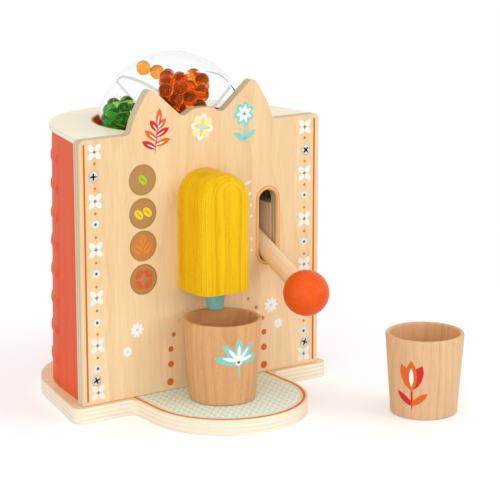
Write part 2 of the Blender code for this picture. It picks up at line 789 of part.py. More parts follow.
def make_dispenser_head(head_room):
    """Yellow block with an arched top and rounded front edges, drilled for the nozzle's peg."""
    sections = [(-GAP, head_outline(0))]
    for step in range(HEAD_EDGE_STEPS + 1):
        turn = math.pi / 2 * step / HEAD_EDGE_STEPS
        inset = HEAD_EDGE_RADIUS * (1 - math.cos(turn))
        depth = HEAD_DEPTH - HEAD_EDGE_RADIUS * (1 - math.sin(turn))
        sections.append((-depth, head_outline(inset)))
    shape = bmesh.new()
    add_sections(shape, sections)
    head = solid("dispenser_head", shape, "yellow_stain", smooth=True)
    combine(head, head_room)
    shape = bmesh.new()
    bore = cylinder_profile(NOZZLE_PEG_RADIUS + GAP, -OVERRUN, NOZZLE_PEG_LENGTH + GAP)
    add_turned(shape, bore, NOZZLE_SIDES)
    combine(head, cutter("peg_room", shape, (HEAD_X, NOZZLE_Y, HEAD_LOW_Z)))


def make_nozzle():
    """Tapered aqua spout with a peg that goes up into the head."""
    profile = [
        (0, -NOZZLE_LENGTH),
        (NOZZLE_TIP_RADIUS - NOZZLE_EDGE, -NOZZLE_LENGTH),
        (NOZZLE_TIP_RADIUS, -NOZZLE_LENGTH + NOZZLE_EDGE),
        (NOZZLE_TOP_RADIUS, -GAP),
        (NOZZLE_PEG_RADIUS, -GAP),
        (NOZZLE_PEG_RADIUS, NOZZLE_PEG_LENGTH),
        (0, NOZZLE_PEG_LENGTH),
    ]
    shape = bmesh.new()
    add_turned(shape, profile, NOZZLE_SIDES)
    place = (HEAD_X, NOZZLE_Y, HEAD_LOW_Z)
    solid("nozzle", shape, "aqua_paint", place, smooth=True)


# Lever

def towards_front():
    """Turn that points a turned piece's +Z along -Y."""
    return Matrix.Rotation(math.pi / 2, 4, "X")


def make_lever(pivot):
    """Dowel with a cross hole for its pin, and a ball knob pressed on its front end."""
    turn = (math.radians(LEVER_REST_DEGREES), 0, 0)
    end = KNOB_REACH - KNOB_RADIUS + KNOB_BORE_DEPTH
    edge = LEVER_RADIUS - LEVER_END_EDGE
    profile = [
        (0, -LEVER_TAIL),
        (edge, -LEVER_TAIL),
        (LEVER_RADIUS, -LEVER_TAIL + LEVER_END_EDGE),
        (LEVER_RADIUS, end - LEVER_END_EDGE),
        (edge, end),
        (0, end),
    ]
    shape = bmesh.new()
    add_turned(shape, profile, LEVER_SIDES, towards_front())
    arm = solid("lever_arm", shape, "beech", turn=turn, parent=pivot, smooth=True)
    shape = bmesh.new()
    reach = LEVER_RADIUS + OVERRUN
    hole = cylinder_profile(PIN_RADIUS + GAP, -reach, reach)
    add_turned(shape, hole, PIN_SIDES, Matrix.Rotation(math.pi / 2, 4, "Y"))
    combine(arm, cutter("arm_hole", shape, parent=pivot))
    shape = bmesh.new()
    ball = [(0, -KNOB_RADIUS)]
    for ring in range(1, KNOB_RINGS):
        tilt = math.pi * ring / KNOB_RINGS
        ball.append((KNOB_RADIUS * math.sin(tilt), -KNOB_RADIUS * math.cos(tilt)))
    ball.append((0, KNOB_RADIUS))
    centre = Matrix.Translation((0, -KNOB_REACH, 0))
    add_turned(shape, ball, LEVER_SIDES, centre @ towards_front())
    knob = solid("lever_knob", shape, "orange_stain", turn=turn, parent=pivot, smooth=True)
    shape = bmesh.new()
    start = KNOB_REACH - KNOB_RADIUS - OVERRUN
    add_turned(shape, cylinder_profile(LEVER_RADIUS + GAP, start, end + GAP), LEVER_SIDES, towards_front())
    combine(knob, cutter("knob_bore", shape, turn=turn, parent=pivot))


def make_lever_mounting():
    """Two cheeks behind the panel, either side of the lever, with a steel pin through them."""
    half = LEVER_RADIUS + CHEEK_SIDE_GAP
    reach = half + CHEEK_THICK
    shape = bmesh.new()
    side = Matrix.Rotation(math.pi / 2, 4, "Y")
    add_turned(shape, cylinder_profile(PIN_RADIUS, -reach, reach), PIN_SIDES, side)
    solid("lever_pin", shape, "steel", (SLOT_X, PIVOT_Y, PIVOT_Z), smooth=True)
    shape = bmesh.new()
    wide = reach + OVERRUN
    add_turned(shape, cylinder_profile(PIN_RADIUS + GAP, -wide, wide), PIN_SIDES, side)
    pin_room = cutter("pin_room", shape, (SLOT_X, PIVOT_Y, PIVOT_Z))
    for name, way in (("lever_cheek_left", -1), ("lever_cheek_right", 1)):
        edges = sorted((SLOT_X + way * half, SLOT_X + way * reach))
        shape = bmesh.new()
        add_box(shape, (edges[0], BEHIND_PANEL_Y, PIVOT_Z - CHEEK_HALF_HEIGHT),
                (edges[1], PIVOT_Y + CHEEK_TAIL, PIVOT_Z + CHEEK_HALF_HEIGHT))
        combine(solid(name, shape, "inner_wood"), pin_room)


# Beakers

def cup_profile():
    """Tapered beaker with a rounded rim and a rounded inner corner."""
    rim_middle = CUP_RIM_RADIUS - CUP_WALL / 2
    inner_rim = CUP_RIM_RADIUS - CUP_WALL
    inner_foot = CUP_FOOT_RADIUS - CUP_WALL
    bend = CUP_WALL / 2
    rim_z = CUP_HEIGHT - bend
    profile = [(0, 0), (CUP_FOOT_RADIUS - CUP_EDGE, 0), (CUP_FOOT_RADIUS, CUP_EDGE)]
    steps = arc_steps(math.pi) // 4
    for step in range(steps + 1):
        turn = math.pi * step / steps
        profile.append((rim_middle + bend * math.cos(turn), rim_z + bend * math.sin(turn)))
    slope = (inner_rim - inner_foot) / (rim_z - CUP_FLOOR)
    profile.append((inner_foot + slope * CUP_INNER_EDGE, CUP_FLOOR + CUP_INNER_EDGE))
    profile.append((inner_foot - CUP_INNER_EDGE, CUP_FLOOR))
    profile.append((0, CUP_FLOOR))
    return profile


def make_cups():
    shape = bmesh.new()
    add_turned(shape, cup_profile(), CUP_SIDES)
    place = (NEAR_CUP_X, NEAR_CUP_Y, DECK_Z + GAP)
    near = solid("cup_near", shape, "beech", place, smooth=True)
    put("cup_far", near.data, (FAR_CUP_X, FAR_CUP_Y, 0))


def make_coffee_maker():
    clear_scene()
    make_materials()
    panel_room = screw_room("panel_screw_room", PANEL_SCREW_LENGTH, panel_screw_places(), (0, -1, 0))
    base_room = screw_room("base_screw_room", BASE_SCREW_LENGTH, base_screw_places(), (0, 0, -1))
    head_room = screw_room("head_screw_room", HEAD_SCREW_LENGTH, head_screw_places(), (0, 1, 0))
    axle_room = make_axle_room()
    make_screws()
    make_base_board(base_room)
    make_front_panel(panel_room, head_room, axle_room)
    make_top_board()
    make_hole_collar()
    make_side_wall()
    make_battens(panel_room, base_room)
    ball_axis = put("ball_axis", None, (0, BALL_CENTRE_Y, AXIS_Z))
    make_hopper(ball_axis)
    make_axle()
    make_axle_post(base_room, axle_room)
    make_dispenser_head(head_room)
    make_nozzle()
    make_lever(put("lever_pivot", None, (SLOT_X, PIVOT_Y, PIVOT_Z)))
    make_lever_mounting()
    make_cups()


make_coffee_maker()
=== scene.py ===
import json
from math import cos, radians, sin, sqrt

import bpy
import numpy as np
from mathutils import Matrix, Vector

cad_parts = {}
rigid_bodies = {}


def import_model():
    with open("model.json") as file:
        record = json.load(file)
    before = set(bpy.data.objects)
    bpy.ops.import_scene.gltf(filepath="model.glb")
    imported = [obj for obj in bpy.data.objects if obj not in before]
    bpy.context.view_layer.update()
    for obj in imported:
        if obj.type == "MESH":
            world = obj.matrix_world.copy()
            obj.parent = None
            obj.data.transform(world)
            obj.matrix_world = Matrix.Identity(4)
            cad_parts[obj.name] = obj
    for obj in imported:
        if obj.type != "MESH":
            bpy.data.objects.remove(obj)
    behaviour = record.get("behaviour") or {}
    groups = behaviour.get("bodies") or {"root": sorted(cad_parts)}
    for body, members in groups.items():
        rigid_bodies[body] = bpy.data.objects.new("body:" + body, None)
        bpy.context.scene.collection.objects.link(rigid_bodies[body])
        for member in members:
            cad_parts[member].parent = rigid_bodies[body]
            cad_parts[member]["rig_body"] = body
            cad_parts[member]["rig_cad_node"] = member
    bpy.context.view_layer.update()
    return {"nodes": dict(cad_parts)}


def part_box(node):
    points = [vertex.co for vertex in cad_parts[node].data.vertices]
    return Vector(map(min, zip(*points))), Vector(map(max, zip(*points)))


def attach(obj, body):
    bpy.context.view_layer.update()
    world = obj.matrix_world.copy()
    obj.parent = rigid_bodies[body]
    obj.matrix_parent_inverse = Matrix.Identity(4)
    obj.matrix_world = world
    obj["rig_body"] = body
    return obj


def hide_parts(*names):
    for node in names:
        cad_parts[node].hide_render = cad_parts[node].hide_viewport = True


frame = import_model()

cad_nodes = frame["nodes"]

# Base board: a 12 mm birch plywood board with a round tray in front, sawn to
# shape and sanded. The tray carries a printed check with an orange line round it.

def feed(tree, socket, value):
    """Link an input to another node's output, or set it to a constant."""
    if isinstance(value, bpy.types.NodeSocket):
        tree.links.new(value, socket)
    else:
        socket.default_value = value


def add_node(tree, kind, sockets=None, **settings):
    """A new shader node with its settings, and its inputs set or linked."""
    made = tree.nodes.new(kind)
    for key, value in settings.items():
        setattr(made, key, value)
    for key, value in (sockets or {}).items():
        feed(tree, made.inputs[key], value)
    return made


def calc(tree, operation, first, second=0.0, third=0.0, clamp=False):
    """One sum on values, as an output to link on."""
    return add_node(tree, "ShaderNodeMath", {0: first, 1: second, 2: third},
                    operation=operation, use_clamp=clamp).outputs[0]


def on_vector(tree, operation, first, second=(0, 0, 0)):
    """One sum on vectors, as an output to link on."""
    made = add_node(tree, "ShaderNodeVectorMath", {0: first, 1: second}, operation=operation)
    return made.outputs["Value" if operation in ("LENGTH", "DOT_PRODUCT") else "Vector"]


def split(tree, vector):
    return add_node(tree, "ShaderNodeSeparateXYZ", {0: vector}).outputs


def ramp(tree, value, low, high, to_low=0.0, to_high=1.0, kind="LINEAR"):
    """Value carried from one range to another, and held at its ends."""
    return add_node(tree, "ShaderNodeMapRange", {
        "Value": value, "From Min": low, "From Max": high, "To Min": to_low, "To Max": to_high},
        interpolation_type=kind).outputs[0]


def blend(tree, share, below, above):
    """Colour between two colours."""
    made = add_node(tree, "ShaderNodeMix", {0: share}, data_type="RGBA", clamp_factor=True)
    for socket, value in ((made.inputs[6], below), (made.inputs[7], above)):
        feed(tree, socket, value if isinstance(value, bpy.types.NodeSocket) else (*value, 1))
    return made.outputs[2]


def noise(tree, place, across, along, detail=2.0, roughness=0.5):
    """Noise with this many cells to a metre, across the grain and along it."""
    cells = on_vector(tree, "MULTIPLY", place, (across, across, along))
    return add_node(tree, "ShaderNodeTexNoise", {
        "Vector": cells, "Scale": 1.0, "Detail": detail, "Roughness": roughness}).outputs["Fac"]


def new_group(name, inputs, outputs):
    """A shader node group with these sockets, and the two ends to link them to."""
    group = bpy.data.node_groups.new(name, "ShaderNodeTree")
    for way, sockets in (("INPUT", inputs), ("OUTPUT", outputs)):
        for label, kind in sockets.items():
            group.interface.new_socket(label, in_out=way, socket_type=f"NodeSocket{kind}")
    return group, group.nodes.new("NodeGroupInput").outputs, group.nodes.new("NodeGroupOutput").inputs


def use_group(tree, group, sockets):
    return add_node(tree, "ShaderNodeGroup", sockets, node_tree=group).outputs


def new_material(name, sheen=0.25, constants=None):
    """A material with its node tree, its Principled shader and object coordinates."""
    material = bpy.data.materials.new(name)
    material.use_nodes = True
    tree = material.node_tree
    shader = tree.nodes["Principled BSDF"]
    for key, value in {"Specular IOR Level": sheen, **(constants or {})}.items():
        shader.inputs[key].default_value = value
    place = add_node(tree, "ShaderNodeTexCoord").outputs["Object"]
    return material, tree, shader, place


def dress(tree, shader, colour, roughness, height=None, strength=0.0, depth=0.0002):
    """Give a shader its colour and roughness, and a bump where it has one."""
    feed(tree, shader.inputs["Base Color"], colour)
    feed(tree, shader.inputs["Roughness"], roughness)
    if height is not None:
        bump = add_node(tree, "ShaderNodeBump", {"Height": height, "Strength": strength, "Distance": depth})
        tree.links.new(bump.outputs[0], shader.inputs["Normal"])


def make_wood_group():
    """Solid wood whose grain runs along Z round a pith on the Z axis."""
    tree, given, out = new_group(
        "solid_wood",
        {"Vector": "Vector", "Ring Pitch": "Float", "Wander": "Float", "Ring Depth": "Float",
         "Streak Depth": "Float", "Fibre Depth": "Float", "Fleck Depth": "Float"},
        {"Tone": "Float", "Height": "Float"})
    place = given["Vector"]
    radius = on_vector(tree, "LENGTH", on_vector(tree, "MULTIPLY", place, (1, 1, 0)))
    slow = calc(tree, "SUBTRACT", noise(tree, place, 22, 5), 0.5)
    quick = calc(tree, "SUBTRACT", noise(tree, place, 190, 24), 0.5)
    bent = calc(tree, "MULTIPLY_ADD", slow, given["Wander"], radius)
    bent = calc(tree, "MULTIPLY_ADD", quick, calc(tree, "MULTIPLY", given["Wander"], 0.14), bent)
    turns = calc(tree, "DIVIDE", bent, given["Ring Pitch"])
    within = calc(tree, "FRACT", turns)
    late = calc(tree, "POWER", within, 3.0)
    late = calc(tree, "MULTIPLY", late, ramp(tree, within, 0.94, 1.0, 1.0, 0.0))
    year = add_node(tree, "ShaderNodeTexNoise", {"W": calc(tree, "FLOOR", turns), "Scale": 3.7},
                    noise_dimensions="1D").outputs["Fac"]
    late = calc(tree, "MULTIPLY", late, ramp(tree, year, 0.35, 0.65, 0.35, 1.0))
    fibre = noise(tree, place, 1500, 45, 3, 0.6)
    streak = noise(tree, place, 120, 7, 3, 0.55)
    cells = add_node(tree, "ShaderNodeTexVoronoi",
                     {"Vector": on_vector(tree, "MULTIPLY", place, (950, 950, 190)), "Scale": 1.0})
    fleck = ramp(tree, cells.outputs["Distance"], 0.16, 0.30, 1.0, 0.0)
    chance = split(tree, cells.outputs["Color"])[0]
    fleck = calc(tree, "MULTIPLY", fleck, ramp(tree, chance, 0.5, 0.7))
    tone = calc(tree, "MULTIPLY", late, given["Ring Depth"])
    tone = calc(tree, "MULTIPLY_ADD", ramp(tree, streak, 0.3, 0.7), given["Streak Depth"], tone)
    tone = calc(tree, "MULTIPLY_ADD", ramp(tree, fibre, 0.3, 0.7), given["Fibre Depth"], tone)
    tone = calc(tree, "MULTIPLY_ADD", fleck, given["Fleck Depth"], tone, clamp=True)
    tree.links.new(tone, out["Tone"])
    height = calc(tree, "MULTIPLY_ADD", fleck, -0.5, calc(tree, "MULTIPLY", fibre, 0.6))
    tree.links.new(calc(tree, "MULTIPLY_ADD", late, -0.3, height), out["Height"])
    return tree


def make_ply_group():
    """Layers that show on a plywood edge: crossed plies, and the glue between them."""
    tree, given, out = new_group(
        "ply_edge",
        {"Depth": "Float", "Ply": "Float", "Facing Grain": "Float", "Facing Cross": "Float",
         "Facing Out": "Float", "Place": "Vector"},
        {"End": "Float", "Glue": "Float", "Edge": "Float"})
    waver = calc(tree, "SUBTRACT", noise(tree, given["Place"], 60, 60), 0.5)
    layers = calc(tree, "DIVIDE", calc(tree, "MULTIPLY_ADD", waver, 0.0005, given["Depth"]), given["Ply"])
    odd = calc(tree, "ABSOLUTE", calc(tree, "MODULO", calc(tree, "FLOOR", layers), 2.0))
    edge = ramp(tree, calc(tree, "ABSOLUTE", given["Facing Out"]), 0.35, 0.8, 1.0, 0.0)
    grain = calc(tree, "ABSOLUTE", given["Facing Grain"])
    cross = calc(tree, "ABSOLUTE", given["Facing Cross"])
    end = calc(tree, "ADD", calc(tree, "MULTIPLY", grain, calc(tree, "SUBTRACT", 1.0, odd)),
               calc(tree, "MULTIPLY", cross, odd))
    tree.links.new(calc(tree, "MULTIPLY", end, edge), out["End"])
    seam = calc(tree, "ABSOLUTE", calc(tree, "SUBTRACT", calc(tree, "FRACT", layers), 0.5))
    tree.links.new(calc(tree, "MULTIPLY", ramp(tree, seam, 0.42, 0.48), edge), out["Glue"])
    tree.links.new(edge, out["Edge"])
    return tree


wood_group = make_wood_group()
ply_group = make_ply_group()


def wood_grain(tree, place, ring_pitch, wander, depths, pith=(0, 0, 0), turn=(0, 0, 0)):
    """Tone and height of solid wood, moved and then turned to bring its grain along Z."""
    moved = add_node(tree, "ShaderNodeMapping", {"Vector": place, "Location": pith}).outputs[0]
    turned = add_node(tree, "ShaderNodeMapping", {"Vector": moved, "Rotation": turn}).outputs[0]
    ring, streak, fibre, fleck = depths
    return use_group(tree, wood_group, {
        "Vector": turned, "Ring Pitch": ring_pitch, "Wander": wander, "Ring Depth": ring,
        "Streak Depth": streak, "Fibre Depth": fibre, "Fleck Depth": fleck})


def birch_ply(name, face, edge, sheet_axis, start, ply, grain_axis, pith, turn=(0, 0, 0)):
    """Birch plywood with a pale veneer face, and crossed plies on its edges."""
    material, tree, shader, place = new_material(name)
    wood = wood_grain(tree, place, ring_pitch=0.0072, wander=0.034, depths=(0.34, 0.22, 0.26, 0.16),
                      pith=pith, turn=turn)
    ways = split(tree, tree.nodes["Texture Coordinate"].outputs["Normal"])
    layers = use_group(tree, ply_group, {
        "Depth": calc(tree, "SUBTRACT", split(tree, place)[sheet_axis], start), "Ply": ply,
        "Facing Grain": ways[grain_axis], "Facing Cross": ways[3 - sheet_axis - grain_axis],
        "Facing Out": ways[sheet_axis], "Place": place})
    edge_light, edge_dark, glue = edge
    speck = ramp(tree, noise(tree, place, 900, 900), 0.25, 0.7, 0.45, 1.0)
    side = blend(tree, calc(tree, "MULTIPLY", layers["End"], speck), edge_light, edge_dark)
    side = blend(tree, calc(tree, "MULTIPLY", layers["Glue"], 0.6), side, glue)
    colour = blend(tree, layers["Edge"], blend(tree, wood["Tone"], *face), side)
    dress(tree, shader, colour, ramp(tree, wood["Tone"], 0, 1, 0.42, 0.58), wood["Height"], 0.22, 0.00015)
    return material, tree, shader, place, colour


def select_only(*items):
    bpy.ops.object.select_all(action="DESELECT")
    for item in items:
        item.select_set(True)
    bpy.context.view_layer.objects.active = items[0]


def add_shape(primitive, **settings):
    """A new primitive with its place kept in its mesh."""
    bpy.ops.object.select_all(action="DESELECT")
    primitive(**settings)
    bpy.ops.object.transform_apply()
    return bpy.context.object


def open_mesh(item, mode="VERT"):
    """Edit mode on one object, with nothing selected in it."""
    select_only(item)
    bpy.ops.object.mode_set(mode="EDIT")
    bpy.ops.mesh.select_mode(type=mode)
    bpy.ops.mesh.select_all(action="DESELECT")


def close_mesh():
    bpy.ops.object.mode_set(mode="OBJECT")


def copy_of(item):
    select_only(item)
    bpy.ops.object.duplicate()
    return bpy.context.object


def pick(kind, test):
    """Select those vertices, edges or faces of the open mesh that pass a test."""
    item = bpy.context.object
    bpy.ops.mesh.select_all(action="DESELECT")
    close_mesh()
    for element in getattr(item.data, kind):
        element.select = bool(test(element))
    bpy.ops.object.mode_set(mode="EDIT")


def round_edges(test, width, segments):
    """Round those edges of the open mesh whose middle passes a test."""
    data = bpy.context.object.data

    def middle(edge):
        first, second = (data.vertices[index].co for index in edge.vertices)
        return (first + second) / 2

    pick("edges", lambda edge: test(middle(edge)))
    bpy.ops.mesh.bevel(offset=width, segments=segments, affect="EDGES")


def extrude(x, y, z):
    bpy.ops.mesh.extrude_region_move(TRANSFORM_OT_translate={"value": (x, y, z)})


def smooth(degrees):
    """Shade the active mesh smooth, apart from its edges over this angle."""
    bpy.ops.object.shade_smooth_by_angle(angle=radians(degrees))


def settle(item, name, material, body, slot, *stands_for):
    """Name a finished piece, keep its place in its mesh, and let it ride on its body."""
    select_only(item)
    bpy.ops.object.transform_apply()
    item.name = item.data.name = name
    if material:
        item.data.materials.clear()
        item.data.materials.append(material)
    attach(item, body)
    if stands_for:
        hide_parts(*stands_for)


def add_modifier(item, kind, **settings):
    """Add a modifier with its settings and apply it."""
    select_only(item)
    bpy.ops.object.modifier_add(type=kind)
    modifier = item.modifiers[-1]
    for key, value in settings.items():
        setattr(modifier, key, value)
    bpy.ops.object.modifier_apply(modifier=modifier.name)


def ease(item, width, segments, degrees):
    """Round the edges of a whole mesh that are sharper than an angle."""
    add_modifier(item, "BEVEL", width=width, segments=segments, limit_method="ANGLE",
                 angle_limit=radians(degrees))


def cut(item, cutter, **settings):
    """Take one mesh out of another, and drop it."""
    add_modifier(item, "BOOLEAN", operation="DIFFERENCE", solver="EXACT", object=cutter, **settings)
    bpy.data.objects.remove(cutter)


def eased_copy(node, name, material, width):
    """The board of a CAD node with its sharp edges eased, as sanding leaves them."""
    item = copy_of(cad_nodes[node])
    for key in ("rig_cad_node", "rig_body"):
        del item[key]
    bpy.ops.mesh.customdata_custom_splitnormals_clear()
    open_mesh(item)
    bpy.ops.mesh.select_all(action="SELECT")
    bpy.ops.mesh.remove_doubles(threshold=0.000002)
    bpy.ops.mesh.dissolve_limited(angle_limit=radians(0.4))
    close_mesh()
    ease(item, width, 2, 40)
    smooth(35)
    add_modifier(item, "WEIGHTED_NORMAL", keep_sharp=True)
    settle(item, name, material, "cabinet", "birch_ply", node)


birch_edge = ((0.98, 0.90, 0.74), (0.88, 0.75, 0.55), (0.66, 0.52, 0.35))
base_face = ((0.97, 0.78, 0.50), (0.76, 0.50, 0.25))
base_birch, tree, shader, place, base_colour = birch_ply(
    "birch_base", base_face, birch_edge, sheet_axis=2, start=0.0, ply=0.0017, grain_axis=0,
    pith=(0, 0, 0.19), turn=(0, radians(90), 0))

base_low, base_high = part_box("base_board")
tray_x, tray_radius, check_pitch, skin = -0.0025, 0.0645, 0.0060, 0.0002
check_radius, rim_inner, line_inner, line_outer = 0.0583, 0.0572, 0.0607, 0.0627
aqua_ink, pale_aqua_ink, cream_ink = (0.44, 0.84, 0.83), (0.74, 0.95, 0.92), (0.96, 0.98, 0.91)
peach_ink, orange_ink = (0.97, 0.80, 0.54), (0.58, 0.15, 0.006)
x, y, z = split(tree, place)
ahead = calc(tree, "MINIMUM", calc(tree, "SUBTRACT", y, base_low.y + tray_radius), 0.0)
aside = calc(tree, "SUBTRACT", x, tray_x)
reach = on_vector(tree, "LENGTH", add_node(tree, "ShaderNodeCombineXYZ", {0: aside, 1: ahead}).outputs[0])
on_top = calc(tree, "MULTIPLY", calc(tree, "GREATER_THAN", z, base_high.z - skin),
              calc(tree, "LESS_THAN", y, 0.0))
across, back = (calc(tree, "GREATER_THAN", calc(tree, "FRACT", calc(tree, "DIVIDE", way, check_pitch)), 0.5)
                for way in (x, y))
check = blend(tree, across, blend(tree, back, peach_ink, cream_ink),
              blend(tree, back, pale_aqua_ink, aqua_ink))
check = blend(tree, calc(tree, "GREATER_THAN", reach, rim_inner), check, pale_aqua_ink)
inside = calc(tree, "MULTIPLY", calc(tree, "LESS_THAN", reach, check_radius), on_top)
on_line = calc(tree, "MULTIPLY", calc(tree, "GREATER_THAN", reach, line_inner),
               calc(tree, "LESS_THAN", reach, line_outer))
printed = blend(tree, calc(tree, "MULTIPLY", inside, 0.98), base_colour, check)
printed = blend(tree, calc(tree, "MULTIPLY", on_line, on_top), printed, orange_ink)
tree.links.new(printed, shader.inputs["Base Color"])
eased_copy("base_board", "base_plate", base_birch, width=0.0005)

# Front panel: 8 mm birch plywood with two ears and a slot for the lever. Its
# sawn edges show the plies, and its veneer carries painted light that makes it paler towards the foot.

panel_face = ((0.885, 0.65, 0.375), (0.65, 0.375, 0.16))
panel_edge = ((0.70, 0.57, 0.38), (0.54, 0.41, 0.25), (0.38, 0.27, 0.16))
panel_birch, tree, shader, place, colour = birch_ply(
    "birch_panel", panel_face, panel_edge, sheet_axis=1, start=0.0, ply=0.0016, grain_axis=2,
    pith=(0.02, 0.17, 0))
# Painted light: the veneer's colour is raised towards the foot, standing in for light that falls there.
painted_light_low, painted_light_high, painted_light_gain = 0.045, 0.120, (1.08, 1.15, 1.22)
painted_light_share = ramp(tree, split(tree, place)[2], painted_light_low, painted_light_high, 1.0, 0.0)
tree.links.new(blend(tree, painted_light_share, colour, on_vector(tree, "MULTIPLY", colour, painted_light_gain)),
               shader.inputs["Base Color"])
eased_copy("front_panel", "panel", panel_birch, width=0.0005)

# Printed border: an orange line and a row of white four-petalled flowers, brown
# dots and pale blue rings down each side of the panel, screen-printed.

film = 0.00005
print_depth = 0.0001


def make_ink_group():
    """Ink on wood: its colour with a trace of the fibres under it."""
    tree, given, out = new_group("ink_on_wood", {"Vector": "Vector", "Colour": "Color"},
                                 {"Color": "Color", "Roughness": "Float"})
    fibre = noise(tree, given["Vector"], 1500, 60, 3, 0.6)
    worn = add_node(tree, "ShaderNodeHueSaturation",
                    {"Saturation": 1.0, "Value": 0.86, "Color": given["Colour"]}).outputs[0]
    tree.links.new(blend(tree, ramp(tree, fibre, 0.35, 0.75), given["Colour"], worn), out["Color"])
    tree.links.new(ramp(tree, fibre, 0.3, 0.7, 0.42, 0.55), out["Roughness"])
    return tree


ink_group = make_ink_group()


def ink(name, colour):
    material, tree, shader, place = new_material(f"{name}_ink")
    made = use_group(tree, ink_group, {"Vector": place, "Colour": (*colour, 1)})
    dress(tree, shader, made["Color"], made["Roughness"])
    return material


def disc(x, z, width, height, layer, material, lean=0.0, sides=24):
    """Round or oval film of ink on the panel's face."""
    thick = film * layer + print_depth
    made = add_shape(bpy.ops.mesh.primitive_cylinder_add, vertices=sides, radius=0.5, depth=thick,
                     location=(x, print_depth - thick / 2, z), scale=(width, height, 1),
                     rotation=(radians(90), radians(lean), 0))
    made.data.materials.append(material)
    return made


def dot(x, z, size, layer, material, sides=24):
    return disc(x, z, size, size, layer, material, sides=sides)


def leaf(x, z, length, width, lean, layer, material):
    """Pointed oval film of ink from a foot point, leaning clockwise from upright."""
    tip = 1.16
    made = disc(0, 0, width, length, layer, material, sides=16)
    for vertex in made.data.vertices:
        if abs(vertex.co.x) < 1e-6:
            vertex.co.z *= tip
    turn = Matrix.Rotation(radians(lean), 4, "Y")
    made.data.transform(Matrix.Translation((x, 0, z)) @ turn @ Matrix.Translation((0, 0, length / 2)))
    return made


def bar(low_x, high_x, low_z, high_z, layer, material):
    """Upright strip of ink on the panel's face."""
    thick = film * layer + print_depth
    made = add_shape(bpy.ops.mesh.primitive_cube_add, size=1, scale=(high_x - low_x, thick, high_z - low_z),
                     location=((low_x + high_x) / 2, print_depth - thick / 2, (low_z + high_z) / 2))
    made.data.materials.append(material)
    return made


def join(parts):
    select_only(*parts)
    bpy.ops.object.join()
    return parts[0]


def print_on_panel(parts, name):
    settle(join(parts), name, None, "cabinet", "birch_ply")


white, brown, rust = (
    ink("white", (0.90, 0.89, 0.83)), ink("brown", (0.42, 0.21, 0.08)), ink("rust", (0.68, 0.20, 0.05)))
olive, sky, slate = (
    ink("olive", (0.36, 0.23, 0.07)), ink("sky", (0.74, 0.84, 0.84)), ink("slate", (0.12, 0.10, 0.08)))
orange, russet = ink("orange", (0.78, 0.14, 0.015)), ink("russet", (0.58, 0.15, 0.006))

border_x, line_x, line_width, line_low, line_high = 0.0968, 0.1060, 0.0016, 0.0150, 0.2160
flower_levels = (0.0212, 0.0589, 0.0966, 0.1343, 0.1720, 0.2097)
dot_levels = (0.2008, 0.1817, 0.1625, 0.1439, 0.1241, 0.1053, 0.0865, 0.0679, 0.0492)
ring_levels = (0.1540, 0.1155, 0.0770, 0.0405)
petal_length, petal_width, dot_size, ring_size, eye_size = 0.0074, 0.0046, 0.0022, 0.0060, 0.0024

border_flower = join([leaf(0, 0, petal_length, petal_width, lean, 1, white) for lean in (45, 135, 225, 315)]
                     + [dot(0, 0, eye_size, 2, olive, 12)])
for side, word in ((-1, "left"), (1, "right")):
    flowers = []
    for level in flower_levels:
        flowers.append(copy_of(border_flower))
        flowers[-1].data.transform(Matrix.Translation((side * border_x, 0, level)))
    print_on_panel(flowers, f"border_flowers_{word}")
    dots = [dot(side * border_x, level, dot_size, 1, (brown, rust)[index % 2], 12)
            for index, level in enumerate(dot_levels)]
    for level in ring_levels:
        dots.append(dot(side * border_x, level, ring_size, 1, sky, 20))
        dots.append(dot(side * border_x, level, eye_size, 2, slate, 12))
    dots.append(bar(side * line_x - line_width / 2, side * line_x + line_width / 2, line_low, line_high,
                    1, russet))
    print_on_panel(dots, f"border_dots_{word}")
bpy.data.objects.remove(border_flower)

# Printed signs for one to four cups: brown discs with one lime, two yellow, three
# orange and four red coffee beans.

tan, umber = ink("tan", (0.47, 0.245, 0.085)), ink("umber", (0.34, 0.17, 0.05))
toffee = ink("toffee", (0.58, 0.22, 0.055))
lime, yellow = ink("lime", (0.44, 0.58, 0.02)), ink("yellow", (0.94, 0.68, 0.02))
amber, ember = ink("amber", (0.78, 0.25, 0.02)), ink("ember", (0.72, 0.115, 0.022))
sign_x, sign_size, ring_width = -0.0550, 0.0242, 0.0011
bean_length, bean_width, crease_length, crease_width = 0.0092, 0.0060, 0.00736, 0.0008
signs = (
    ("one", 0.1837, olive, tan, lime, ((0.0002, 0.0000, -45),)),
    ("two", 0.1575, olive, tan, yellow, ((-0.0036, -0.0006, -45), (0.0041, 0.0006, -45))),
    ("three", 0.1319, olive, toffee, amber,
     ((-0.0003, 0.0047, 0), (-0.0047, -0.0024, -50), (0.0039, -0.0021, 40))),
    ("four", 0.1054, umber, tan, ember,
     ((-0.0041, 0.0042, 40), (0.0041, 0.0042, -45), (-0.0041, -0.0042, -45), (0.0041, -0.0042, 40))))
for word, level, rim, fill, bean_ink, beans in signs:
    parts = [dot(sign_x, level, sign_size, 1, rim, 64),
             dot(sign_x, level, sign_size - 2 * ring_width, 2, fill, 64)]
    for x, z, lean in beans:
        parts.append(disc(sign_x + x, level + z, bean_width, bean_length, 3, bean_ink, lean))
        parts.append(disc(sign_x + x, level + z, crease_width, crease_length, 4, rim, lean, 12))
    print_on_panel(parts, f"bean_sign_{word}")

# Printed meadow: small white daisies, an arch of orange dots that grow towards
# the base, pale dashes beside the head, and one round flower on the crest.

